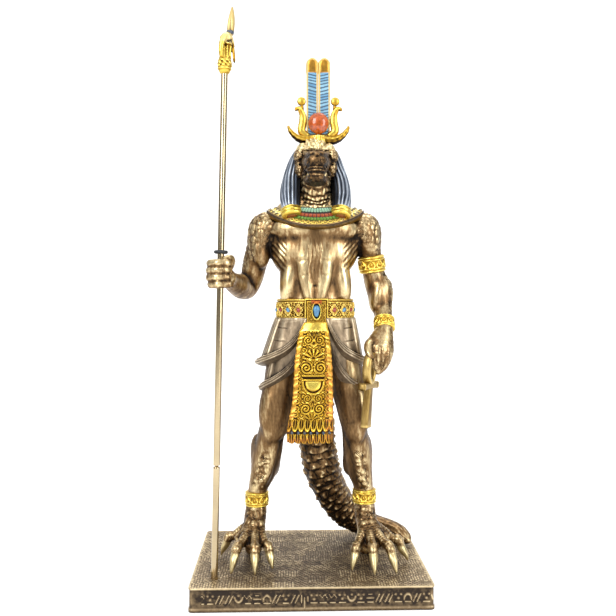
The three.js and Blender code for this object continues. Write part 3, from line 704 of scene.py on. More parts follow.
def merge(*parts):
    """Several (points, faces) as one."""
    points, faces, count = [], [], 0
    for some, corners in parts:
        points.append(some)
        faces.append(np.where(corners < 0, -1, corners + count))
        count += len(some)
    return np.vstack(points), np.vstack(faces)


# Materials

def node(tree, kind, feeds=(), **settings):
    """One node with its settings; feeds pairs an input with the socket or the value that it takes."""
    made = tree.nodes.new(kind)
    for name, value in settings.items():
        setattr(made, name, value)
    for name, value in feeds:
        if isinstance(value, bpy.types.NodeSocket):
            tree.links.new(value, made.inputs[name])
        else:
            made.inputs[name].default_value = value
    return made


def new_material(name):
    """An empty material and its tree, shader and output."""
    made = bpy.data.materials.new(name)
    made.use_nodes = True
    tree = made.node_tree
    tree.nodes.clear()
    shader = node(tree, "ShaderNodeBsdfPrincipled")
    node(tree, "ShaderNodeOutputMaterial", [("Surface", shader.outputs[0])])
    return made, tree, shader


def rubbed_metal(name, deep, middle, high, metallic=1.0, rough=(0.5, 0.28), grain_mm=0.35, streak=1.0,
                 painted=False, horn=None, grain=0.35, blotch=0.25):
    """Metal or metal paint under a dark wash: the wash stays in the hollows and the high places are
    rubbed bright. The grain is that of a sanded casting, and streak stretches it along the height."""
    made, tree, shader = new_material(name)
    spot = node(tree, "ShaderNodeTexCoord").outputs["Object"]
    raised = node(tree, "ShaderNodeAttribute", attribute_name="raised").outputs["Fac"]
    drawn = node(tree, "ShaderNodeMapping", [("Vector", spot), ("Scale", (1, 1, 1 / streak))])
    mottled = node(tree, "ShaderNodeTexNoise", [("Vector", drawn.outputs[0]), ("Scale", 1 / 0.0036),
                                                ("Detail", 4.0)])
    fine = node(tree, "ShaderNodeTexNoise", [("Vector", drawn.outputs[0]), ("Scale", 1000 / grain_mm / 3),
                                             ("Detail", 3.0), ("Roughness", 0.6)])
    lumps = node(tree, "ShaderNodeMath", [(0, mottled.outputs["Fac"]), (1, blotch), (2, -blotch / 2)],
                 operation="MULTIPLY_ADD")
    specks = node(tree, "ShaderNodeMath", [(0, fine.outputs["Fac"]), (1, grain), (2, lumps.outputs[0])],
                  operation="MULTIPLY_ADD")
    worn = node(tree, "ShaderNodeMath", [(0, raised), (1, specks.outputs[0])], operation="ADD")
    level = node(tree, "ShaderNodeMath", [(0, worn.outputs[0]), (1, grain / 2)], operation="SUBTRACT",
                 use_clamp=True)
    ramp = node(tree, "ShaderNodeValToRGB", [("Fac", level.outputs[0])])
    stops = ramp.color_ramp.elements
    stops[0].position, stops[0].color = 0.16, (*deep, 1)
    stops[1].position, stops[1].color = 0.92, (*high, 1)
    stops.new(0.5).color = (*middle, 1)
    base = ramp.outputs["Color"]
    shine = node(tree, "ShaderNodeMapRange", [("Value", level.outputs[0]), ("From Min", 0.15),
                                              ("From Max", 0.8), ("To Min", rough[0]),
                                              ("To Max", rough[1])]).outputs[0]
    metal = node(tree, "ShaderNodeMapRange", [("Value", level.outputs[0]), ("From Min", 0.1),
                                              ("From Max", 0.4), ("To Min", metallic * 0.8),
                                              ("To Max", metallic)]).outputs[0]
    if painted:
        coat = node(tree, "ShaderNodeAttribute", attribute_name="coat").outputs["Fac"]
        paint = node(tree, "ShaderNodeAttribute", attribute_name="paint").outputs["Color"]
        wash = node(tree, "ShaderNodeMapRange", [("Value", level.outputs[0]), ("From Min", 0.12),
                                                 ("From Max", 0.5), ("To Min", 0.12), ("To Max", 1.0)])
        washed = node(tree, "ShaderNodeMix", [("Factor", wash.outputs[0]), (6, (*deep, 1)), (7, paint)],
                      data_type="RGBA")
        base = node(tree, "ShaderNodeMix", [("Factor", coat), (6, base), (7, washed.outputs[2])],
                    data_type="RGBA").outputs[2]
        metal = node(tree, "ShaderNodeMapRange",
                     [("Value", coat), ("To Min", metallic), ("To Max", 0.15)]).outputs[0]
    if horn is not None:
        claw = node(tree, "ShaderNodeAttribute", attribute_name="horn").outputs["Fac"]
        pale = node(tree, "ShaderNodeMix", [("Factor", level.outputs[0]), (6, (*middle, 1)), (7, (*horn, 1))],
                    data_type="RGBA")
        base = node(tree, "ShaderNodeMix", [("Factor", claw), (6, base), (7, pale.outputs[2])],
                    data_type="RGBA").outputs[2]
    relief = node(tree, "ShaderNodeBump", [("Strength", 0.35), ("Distance", grain_mm * 0.00025),
                                           ("Height", fine.outputs["Fac"])])
    tree.links.new(base, shader.inputs["Base Color"])
    tree.links.new(shine, shader.inputs["Roughness"])
    tree.links.new(metal, shader.inputs["Metallic"])
    tree.links.new(relief.outputs[0], shader.inputs["Normal"])
    return made


FINISHES = {}


def finish(name):
    """The named finish, made when it is first asked for."""
    if name not in FINISHES:
        FINISHES[name] = globals()[name]()
    return FINISHES[name]


def cast_bronze():
    """Cold-cast bronze, waxed brown and rubbed: dark hollows, golden muscles, pale horn on the claws."""
    return rubbed_metal("bronze_patinated", shade("bronze_deep"), shade("bronze_mid"), shade("bronze_high"),
                        rough=(0.5, 0.3), streak=4.0, blotch=0.4, grain=0.5, horn=shade("horn"))


def cloth_bronze():
    """The kilt's greyer wash over the same casting, drier and less golden than the skin."""
    return rubbed_metal("bronze_grey_wash", shade("pewter_deep"), shade("pewter_mid"), shade("pewter_high"),
                        metallic=0.85, rough=(0.6, 0.38), streak=2.0)


def gold_leafing():
    """Brushed-on gold paint over relief, with a dark wash between the ornament and touches of colour."""
    return rubbed_metal("gold_painted_relief", shade("gold_deep"), shade("gold_mid"), shade("gold_high"),
                        metallic=0.9, rough=(0.5, 0.27), painted=True, grain=0.22, blotch=0.2)


def wig_paint():
    """Pearly grey-blue paint that is rubbed almost white along each strand and left black between them."""
    return rubbed_metal("wig_pearl_paint", shade("wig_deep"), shade("wig_mid"), shade("wig_high"),
                        metallic=0.7, rough=(0.5, 0.28), streak=6.0, grain=0.25)


def plinth_bronze():
    """The plinth's matt grey-brown wash, worn pale on each cut's edge."""
    return rubbed_metal("plinth_brown_wash", shade("plinth_deep"), shade("plinth_mid"), shade("plinth_high"),
                        metallic=0.75, rough=(0.62, 0.42), grain_mm=0.5)


# Torso, arms and hands

TORSO = [(0, -1, 104, 19, 13), (0, -2, 120, 18.2, 12.4), (0, -2.8, 130, 16.6, 11), (0, -3, 139, 16, 10.6),
         (-0.4, -3, 147, 17.4, 11.2), (-0.8, -2.5, 156, 20.4, 12.2), (-0.8, -2, 164, 23.2, 12.4),
         (-0.5, -1, 172, 21.5, 11), (0, -1.5, 179, 14, 9.6), (0, -3, 186, 8, 8.4)]
STAFF_ARM = [(-23, 0, 168.6, 6, 7), (-26.6, 0, 166.5, 7.2, 8), (-28.4, 1.4, 158, 6.6, 7.2),
             (-30.8, 2.6, 149.5, 6.2, 6.8), (-32.6, 3.6, 142, 5.8, 6.2), (-34.6, 3, 137.2, 5.2, 5.6),
             (-37.4, -3, 137, 5.4, 5.6), (-40, -11, 138.8, 4.9, 5.1), (-42, -17.5, 140.4, 4, 4.4),
             (-43, -22, 141.6, 3.8, 4.2)]
ANKH_ARM = [(22.4, 0, 168.6, 6, 7), (26, 0, 166, 7.2, 8), (28, 1, 157, 5.9, 6.8), (29.4, 2, 148.5, 5.2, 5.9),
            (31.4, 2.8, 141, 6, 6.2), (33.4, 2.5, 134, 6.1, 6), (34.4, 0, 127.5, 5.2, 5.2),
            (34.6, -5, 121.5, 4.3, 4.4), (34.4, -9, 116.5, 3.8, 4.1), (33.8, -11.5, 112, 3.9, 4.6)]
STAFF_GRIP = (-45.7, -29, 142.5)
ANKH_GRIP = (31.4, -14.6, 103)
SHAFT_BORE = 1.85  # half-width of the hole that the staff runs through
FINGER_PITCH = 3.3
FINGER_CURL = [(2.6, -4.2, 1.85, 2), (5, -0.6, 1.85, 1.8), (4.3, 3.2, 1.85, 1.5), (0.4, 4.9, 1.8, 1.6),
               (-3.6, 4, 1.75, 1.4), (-5, 2, 1.5, 1.2)]


def muscles(clay):
    """The breast, belly, shoulders and back, each a soft swelling on the trunk."""
    clay.add(Limb(TORSO, pace=2), 1)
    for s in (-1, 1):
        clay.add(Ball((s * 10 - 0.6, -9.5, 166), (12.2, 5.5, 6.2), (4, 0, s * 9)), 1.2)
        clay.add(Ball((s * 9.6 - 0.6, -7.6, 154.5), (8.4, 5.2, 7.6)), 3)
        clay.add(Ball((s * 13.4, -6.4, 140), (4.6, 6.6, 12), (0, s * -6, 0)), 3)
        clay.add(Ball((s * 18.4 - 0.4, 1, 158), (5, 7.5, 12.5), (0, s * 12, 0)), 3)
        clay.add(Ball((s * 9, 1.5, 175), (9, 5.8, 5), (0, s * 20, 0)), 3)
        clay.add(Ball((s * 24.4, -0.8, 166.8), (8.4, 8.6, 8.4), (0, s * 16, 0)), 2)
        clay.add(Ball((s * 27.2, -1.5, 162), (5.6, 7.2, 7.4), (0, s * 8, 0)), 1.4)
        clay.add(Ball((s * 9.6, 7.6, 163), (7.4, 4, 8.4), (0, s * 18, 0)), 2)
        clay.add(Ball((s * 4.6, 6.4, 140), (3.4, 3.4, 15)), 2)
        clay.add(Limb([(s * 4.7 - 0.6, -11.4, 158.5, 3.4, 1.8), (s * 4.9 - 0.6, -12.6, 152, 3.9, 2.2),
                       (s * 4.7 - 0.6, -12.6, 145.4, 3.8, 2.1), (s * 4 - 0.6, -12.5, 138.4, 3.2, 2.1),
                       (s * 2.4 - 0.6, -12.4, 130, 2, 1.8)]), 1)
        for z in (150.8, 143.6):
            clay.cut(Limb([(s * 1.6 - 0.6, -16.3, z + 0.8, 0.4), (s * 8 - 0.6, -15, z - 1, 0.3)]), 1.6)
        clay.cut(Limb([(s * 2.4 - 0.6, -17, 161.2, 0.5), (s * 9 - 0.6, -16.9, 159.7, 0.8),
                       (s * 16 - 0.6, -14.4, 160.4, 0.8), (s * 20.4 - 0.6, -10, 162.4, 0.5)]), 0.7)
    clay.cut(Limb([(-0.6, -17.6, 172, 1), (-0.6, -17.2, 163, 1.1), (-0.6, -16.2, 158, 0.6)]), 2.2)
    clay.cut(Limb([(-0.6, -16, 157, 0.5), (-0.6, -15.5, 146, 0.6), (-0.8, -15.2, 140, 0.6)]), 1)
    clay.cut(Ball((-0.6, -15, 139.4), (2.6, 0.9, 0.45)), 0.6)
    clay.cut(Ball((-0.6, -14.6, 137.8), (0.9, 1.6, 1.1)), 0.6)
    clay.cut(Limb([(0, 11.6, 178, 1.4), (0, 12.4, 160, 1.6), (0, 9.8, 142, 1.4), (0, 10.6, 126, 1.2)]), 2.5)


def staff_fist(clay):
    """Four fingers lie level across the front of the staff, and the thumb closes behind them."""
    def near(o, r, a, *size):
        return (STAFF_GRIP[0] - o - 0.15 * r, STAFF_GRIP[1] - r + 0.15 * o, STAFF_GRIP[2] + 0.5 + a, *size)

    up = (0, 0, 1)
    clay.add(Limb([(-43, -21.6, 141.4, 4, 4.2), near(1.8, -4.8, 0, 6.4, 3.4), near(3.4, -1.4, 0, 6.4, 2.4)],
                  across=up), 1.2)
    clay.add(Limb([near(-1, -5.4, 2, 3), near(-4, -3, 5.4, 2.4), near(-4.6, 0.6, 7, 2.1),
                   near(-3, 3, 6.8, 1.5)], across=up), 0.8)
    for i in range(4):
        a = (1.5 - i) * FINGER_PITCH
        tuck = 0.7 if i == 3 else 0.3 * (i == 0)
        clay.add(Limb([near(o - tuck, r - 0.5 * tuck, a, wide, deep) for o, r, wide, deep in FINGER_CURL],
                      across=up, pace=1.5), 0.5)
        clay.add(Ball(near(0.6 - tuck, 4.9, a), (2, 1.8, 1.7)), 0.5)


def ankh_hand(clay):
    """The hanging hand, closed and tapering down; its back looks outwards and its thumb holds the loop."""
    clay.add(Limb([(34.2, -10.6, 116, 4.2, 4.2), (32.2, -13.2, 110, 6.4, 4.6), (31.2, -14.8, 105.4, 7, 5),
                   (31.2, -15.4, 100.6, 5.2, 4.4), (30.4, -16, 96.4, 2.4, 2.4)], pace=1.5), 1)
    clay.add(Limb([(28.6, -13, 111, 2.6), (25.6, -16.6, 108.6, 2.3), (25.2, -19.8, 105.6, 1.9),
                   (26.6, -21.6, 103, 1.4)], pace=1.2), 0.7)
    for i in (-1, 0, 1):
        clay.cut(Limb([(31.6 + 3.2 * i, -19.4, 108, 0.4), (31.3 + 2.7 * i, -20.2, 103.6, 0.7),
                       (31.1 + 2.2 * i, -19.9, 100.4, 0.7), (30.5 + i, -18.6, 96.4, 0.4)], pace=1.2), 0.6)


def fists(clay):
    staff_fist(clay)
    ankh_hand(clay)
    clay.cut(Limb([(-46.5, -29, 112, SHAFT_BORE), (-45.2, -29, 172, SHAFT_BORE)]), 0.2)


def arm_muscles(clay):
    clay.add(Limb(STAFF_ARM, pace=1.5), 2.2)
    clay.add(Limb(ANKH_ARM, pace=1.5), 2.2)
    clay.add(Ball((-28.2, -2.8, 155.5), (4.8, 5.4, 8.6), (0, -12, 0)), 1.6)
    clay.add(Ball((-29.6, 6.2, 154), (4.6, 4.6, 9), (0, -12, 0)), 1.6)
    clay.add(Ball((-34.8, 5.8, 137.8), (3.6, 3.4, 3.6)), 1.5)
    clay.add(Ball((-38.2, -4.5, 139.4), (4.6, 8.6, 4.8), (10, 0, 12)), 1.6)
    clay.add(Ball((28, -2.6, 159), (4.3, 5, 5.4), (0, -8, 0)), 1.2)
    clay.add(Ball((28.2, 4.6, 157.4), (4.2, 4.2, 6), (0, -8, 0)), 1.2)
    clay.add(Ball((35.2, 1, 134.6), (4.8, 5.4, 8), (0, 6, 0)), 2)
    clay.add(Ball((31.4, -0.6, 133), (3.2, 5, 7.6), (0, 12, 0)), 2.2)


def scaled(points, pitch, seed=0, loose=0.75):
    """Knobbed scales of uneven shape: 0 in the pits between them and 1 on top."""
    first, second = cells(points, pitch, seed, loose)
    return np.sqrt(np.clip(1 - (first / 0.66) ** 2, 0, 1)) * step(0, 0.16, second - first)


def body_relief(points, normals, size):
    """Coarse net scales on the shoulders and outer arms, fine ones on the hands, and drawn-out streaks."""
    x, y, z = points.T
    outward = np.abs(normals[:, 0]) * np.sign(x * normals[:, 0])
    outer = step(-0.15, 0.5, normals @ np.array([0.0, 0.5, 0]) + outward)
    shoulder = step(155, 160, z) * step(19, 22.5, np.abs(x)) * step(-0.3, 0.25, outer)
    lower = step(21, 24, np.abs(x)) * (1 - step(155, 160, z)) * step(0.35, 0.8, outer)
    hand = np.zeros(len(points))
    for grip in (STAFF_GRIP, ANKH_GRIP):
        hand = np.maximum(hand, 1 - step(7.5, 10.5, np.linalg.norm(points - np.array(grip), axis=1)))
    staff_forearm = step(-31, -34, x) * step(-2, -8, y)
    lower = lower * (1 - 0.75 * staff_forearm) * (1 - hand)
    coarse = scaled(points * (1, 1, 0.8), size["net_pitch"], 3)
    middling = scaled(points * (1, 1, 0.9), size["net_pitch"] * 0.72, 4)
    fine = scaled(points, size["net_pitch"] * 0.55, 5)
    streaks = clouds(points * (1, 1, 0.12), 1.3, 6) + 0.5 * clouds(points * (1, 1, 0.1), 0.9, 7)
    streaks *= 1 - np.maximum(shoulder, lower)
    across, facing = np.abs(x + 0.6), step(0.1, 0.4, -normals[:, 1])
    flank = facing * step(13.6, 16, across) * (1 - step(21, 23, across))
    flank = flank * step(144, 147, z) * (1 - step(158, 161, z))
    ribs = np.sin(2 * np.pi * (z - 1.2 * across) / 2.9 + 1.2 * clouds(points, 4, 8))
    middle = facing * (1 - step(3, 4.4, across)) * step(140, 143, z) * (1 - step(157, 160, z))
    furrows = np.sin(2 * np.pi * (x + 0.5 * np.sin(z * 0.4)) / 1.9)
    carved = 0.24 * flank * ribs + 0.16 * middle * furrows
    rise = size["net_rise"]
    return (rise * (shoulder * (coarse - 0.6) + lower * 0.7 * (middling - 0.6))
            + hand * 0.3 * rise * (fine - 0.6) + 0.06 * streaks * (1 - hand) + carved)


def carve(points, faces, relief):
    """Moves each vertex out along its normal by the relief there."""
    normals = normals_of(points, faces)
    return points + normals * relief(points, normals)[:, None]


def torso_and_arms():
    size = sizes()
    clay = Clay(size["body_grid"])
    muscles(clay)
    arm_muscles(clay)
    fists(clay)
    points, faces = clay.skin((-54, -40, 93), (44, 18, 184))
    points = carve(points, faces, lambda p, n: body_relief(p, n, size))
    arms, breast = step(17, 24, np.abs(points[:, 0])), step(157, 161, points[:, 2])
    level = 0.58 - 0.15 * np.maximum(arms, 0.7 * breast) + 0.13 * clouds(points * (1, 1, 0.3), 2.2, 9)
    piece("torso_and_arms", points, faces, "cast_bronze", kept=SKIN_KEPT, level=level)


# Legs and feet

LEGS = [
    {"flesh": [(-9.5, -1, 112, 9.5, 11), (-15, -2, 98, 9.6, 11), (-17.6, -3, 84, 8.8, 10),
               (-19.8, -4.5, 70, 7.6, 8.4), (-22.2, -3, 63.5, 6.7, 7.4), (-24.4, 0, 52, 7.2, 7.8),
               (-26.2, 0.5, 44, 6.6, 7), (-28.9, 0, 35.5, 5, 5.4), (-30.4, 0, 26, 4.6, 5.2),
               (-31.2, 0, 18, 5, 6)],
     "ankle": (-29.7, 0, 29.6), "heel": (-31.6, 4, 3), "knee": (-21.2, -9.2, 66.5), "calf": (-25.4, 3.4, 51),
     "toes": [(-48, 0.5), (-41.2, -26), (-29.7, -27.3), (-21.4, -20.4)]},
    {"flesh": [(9.5, -1, 112, 9.5, 11), (14.5, -2, 98, 9.2, 11), (17.4, -3, 84, 8.6, 9.8),
               (19.6, -4.5, 71, 7.2, 8.4), (20.2, -3, 63.5, 6.5, 7.4), (21.8, 0, 52, 7.2, 7.8),
               (23, 0.5, 44, 6.4, 7), (24.8, 0, 35.5, 5, 5.4), (25.8, 0, 26, 4.6, 5.2), (26.2, 0, 18, 5, 6)],
     "ankle": (25.3, 0, 30.6), "heel": (27, 4, 3), "knee": (20, -9.2, 66.5), "calf": (22, 3.4, 51),
     "toes": [(17.1, -23.2), (27.2, -28.9), (37.9, -28.1), (46.1, -10.7)]},
]


def toe_line(root, tip, stations):
    """Stations [share of the way, height, radii] set on the line from a foot's root to a toe's tip."""
    return [(root[0] + (tip[0] - root[0]) * share, root[1] + (tip[1] - root[1]) * share, *rest)
            for share, *rest in stations]


def leg(clay, plan):
    """One leg and its foot; returns the limbs of its toes and of its claws."""
    clay.add(Limb(plan["flesh"], pace=1.6), 1)
    (kx, ky, kz), (cx, cy, cz) = plan["knee"], plan["calf"]
    side = -1 if kx < 0 else 1
    clay.add(Ball((kx, ky + 0.5, kz - 1), (4.2, 2.9, 5.4), (-10, 0, 0)), 3)
    clay.add(Ball((kx + side * 2.4, ky + 2, kz + 12), (4.4, 5, 11), (-4, side * -10, 0)), 3.4)
    clay.add(Ball((kx - side * 3.4, ky + 2.6, kz + 10), (4, 4.6, 9.6), (-4, 0, 0)), 3.4)
    clay.add(Ball((cx + side * 3, cy, cz), (4.6, 6, 11), (0, side * 6, 0)), 2)
    clay.add(Ball((cx - side * 2.6, cy + 0.8, cz - 1), (4.4, 5.8, 10), (0, side * 12, 0)), 2)
    clay.add(Limb([(kx, ky + 1.4, kz - 8, 1.6), (kx + side * 2.8, -6.2, cz - 8, 1.4),
                   (plan["ankle"][0], -4, 36, 1.6)]), 2.4)
    ankle, heel, toes = plan["ankle"], plan["heel"], plan["toes"]
    middle = sum(tip[0] for tip in toes) / len(toes)
    root = (ankle[0] + (middle - ankle[0]) * 0.2, ankle[1] - 2)
    clay.add(Limb([(ankle[0], ankle[1], 24, 4.8, 5.6), (heel[0], heel[1] - 1, 12, 4.8, 5.8),
                   (*heel, 4.4, 5.4)]), 2)
    clay.add(Ball((heel[0], heel[1] + 3.4, 5.4), (3.2, 3.6, 5)), 1.5)
    clay.add(Limb([(ankle[0], -1, 21, 4.2, 4.6), (ankle[0] + (middle - ankle[0]) * 0.4, -9, 13.4, 6.6, 2.8),
                   (middle, -13, 10, 7, 1.5)]), 1.4)
    bones, claws = [], []
    for number, tip in enumerate(toes):
        arch = 11.4 if number in (1, 2) else 10.4
        bone = Limb(toe_line(root, tip, [(0, 17, 3.2), (0.38, 13.4, 2.5), (0.62, arch, 2.1),
                                         (0.76, arch - 0.4, 2.5), (0.82, arch - 2.4, 1.9)]), pace=2)
        claw = Limb(toe_line(root, tip, [(0.83, arch - 3.4, 2.1, 1.9), (0.89, arch - 5.4, 1.9, 1.8),
                                         (0.95, 2.8, 1.2, 1.2), (1, 0.3, 0.35, 0.35)]), pace=1.2)
        clay.add(bone, 0.8)
        clay.add(claw, 0.2)
        clay.add(Ball(*toe_line(root, tip, [(0.8, arch - 1.6)]), (2.4, 2.2, 1.9)), 0.6)
        bones.append(bone)
        claws.append(claw)
    for one, two in zip(toes, toes[1:]):
        between = ((one[0] + two[0]) / 2, (one[1] + two[1]) / 2)
        spread = math.dist(one, two)
        wide = min(spread * 0.3, 3.4)
        web = toe_line(root, between, [(0.1, 16, 2.4, 1.4), (0.4, 11.6, wide, 1.2),
                                       (0.54, 10, wide * 0.9, 1)])
        clay.add(Limb(web, pace=2), 1)
    return bones, claws


def leg_relief(points, normals, bones, claws, size):
    """Beads along the toes, big plates down the ankles' front and fine scales round the rest."""
    x, _, z = points.T
    rise = np.zeros(len(points))
    best, along = np.full(len(points), 1e9), np.zeros(len(points))
    for bone in bones:
        gap, run, _ = bone.chart(points)
        near = gap < best
        best[near], along[near] = gap[near], run[near]
    horn = np.zeros(len(points))
    for claw in claws:
        horn = np.maximum(horn, 1 - step(0.1, 0.4, claw.chart(points)[0]))
    upward = normals[:, 2] - normals[:, 1] * 0.4
    toe = (1 - step(0, 0.9, best)) * (1 - step(19, 22, z)) * (1 - horn) * step(0.45, 0.8, upward)
    beads = np.abs(np.sin(np.pi * along / 1.5)) ** 0.7
    rise += toe * 0.5 * (beads - 0.3)
    line = np.where(x < 0, np.interp(z, (34, 60), (-29.6, -23.4)), np.interp(z, (34, 60), (25.2, 21.4)))
    shin = step(0.2, 0.6, -normals[:, 1]) * step(33, 36, z) * (1 - step(50, 58, z))
    shin = shin * (1 - step(2, 3.4, np.abs(x - line)))
    rise += shin * 0.6 * (scaled(points * (0.9, 1, 1.1), 3, 25) - 0.4)
    front = step(0.0, 0.55, -normals[:, 1]) * step(12, 15, z) * (1 - step(25.5, 27.5, z)) * (1 - toe)
    rise += front * 0.5 * (scaled(points * (0.8, 1, 1.15), 3, 21) - 0.5)
    back = step(-0.2, 0.5, normals[:, 1] + 0.45 * np.abs(normals[:, 0])) * (1 - toe)
    rise += back * 0.16 * (scaled(points, size["net_pitch"] * 0.7, 22) - 0.5)
    low = (1 - step(25, 28, z)) * (1 - np.maximum(toe, front)) * (1 - horn)
    rise += low * 0.26 * (scaled(points, 1.7, 23) - 0.5)
    grain = clouds(points * (1, 0.4, 0.2), 0.6, 26)
    rise += 0.06 * clouds(points * (1, 1, 0.12), 1.3, 24) + 0.14 * horn * grain
    return rise, horn


def legs_and_feet():
    size = sizes()
    clay = Clay(size["body_grid"])
    bones, claws = [], []
    for plan in LEGS:
        toes, nails = leg(clay, plan)
        bones += toes
        claws += nails
    points, faces = clay.skin((-54, -36, -1), (52, 16, 118))
    normals = normals_of(points, faces)
    rise, horn = leg_relief(points, normals, bones, claws, size)
    points = points + normals * rise[:, None]
    points[:, 2] = np.maximum(points[:, 2], 0.02)
    x, _, z = points.T
    # The strip named rubbed is a painted highlight: leg faces that look forwards and outwards are made lighter
    outward = 0.5 * np.abs(normals[:, 0]) * (normals[:, 0] * x > 0)
    front = normals @ np.array([0, -0.86, 0.1]) + outward
    rubbed = step(0.8, 0.98, front) * (0.75 + 0.5 * clouds(points * (1, 1, 0.25), 4, 27))
    level = 0.25 + 0.1 * (1 - step(45, 70, z)) + rubbed * step(22, 30, z) * np.where(x < 0, 0.18, 0.26)
    piece("legs_and_feet", points, faces, "cast_bronze", horn=horn, kept=SKIN_KEPT, level=level)


# Tail

TAIL = [(0, 5, 118, 9, 7), (0, 11, 102, 10, 9), (0, 15, 84, 10.2, 9.6), (0.6, 16.5, 66, 9.8, 9.2),
        (2.2, 17, 52, 9.4, 9), (4.6, 18.6, 40, 9.2, 8.8), (8.6, 22, 29, 8.6, 8.4), (15, 26, 17.5, 7.8, 7.6),
        (24, 28.6, 9.6, 7, 7), (33, 27.4, 6.6, 6.2, 6), (41, 22.5, 5.8, 5.6, 5.2),
        (47, 17, 4.6, 4.4, 4.2), (51, 11.4, 2.2, 2, 2)]


def tail_relief(along, angle, share, size):
    """Uneven rows of knobbed plates that lap towards the tip, keels along the back, grooves near the tip."""
    pitch = size["scute_pitch"] * (1.1 - 0.35 * share)
    turn = np.mod(angle + np.pi / 2, 2 * np.pi) / (2 * np.pi)
    spot = np.stack([np.cos(angle), np.sin(angle), along / 4], axis=1)
    row = along / pitch + 0.34 * clouds(spot, 0.5, 51) + 0.1 * np.sin(turn * 6 * np.pi)
    lap, place = np.mod(row, 1), turn * 9 + 0.5 * np.mod(np.floor(row), 2) + 0.25 * clouds(spot, 0.4, 52)
    column = np.abs(np.mod(place, 1) * 2 - 1)
    whole = np.clip(1 - column**3, 0, 1) * np.clip(1 - np.abs(2 * lap - 1) ** 4, 0, 1)
    plate = np.sqrt(whole) * (0.5 + 0.5 * lap)
    knob = bump(column, 0, 0.4) * bump(lap, 0.62, 0.3)
    back = np.maximum(bump(turn, 0.12, 0.09), bump(turn, 0.88, 0.09)) * (1 - step(0.7, 0.85, share))
    keel = back * np.sin(np.pi * lap) ** 0.7 * step(0, 0.1, lap)
    grooves = np.sin(turn * 2 * np.pi * 14 + 0.8 * np.sin(row * 1.3))
    smooth = step(0.72, 0.84, share)
    rise = size["scute_rise"] * (1.2 * (plate - 0.4) + 1.4 * knob)
    return rise * (1 - 0.9 * smooth) + keel * 2.6 + 0.08 * smooth * grooves


def tail():
    size = sizes()
    points, faces = swept(TAIL, 150, 400, lambda a, g, s: tail_relief(a, g, s, size), blunt=0.02)
    points[:, 2] = np.maximum(points[:, 2], 0.02)
    # Faces that look down lose up to 0.5 of their level: painted shade under the tail.
    piece("tail", points, faces, "cast_bronze", kept=SKIN_KEPT, level=0.32, under=0.5)


# Head and throat

SNOUT_X = -0.8


def lip_height(y):
    """Height of the line between the jaws, which waves as a crocodile's does."""
    return 190.6 + 0.4 * math.sin(0.42 * y + 1.2) + max(0.0, (y + 16) * 0.18)


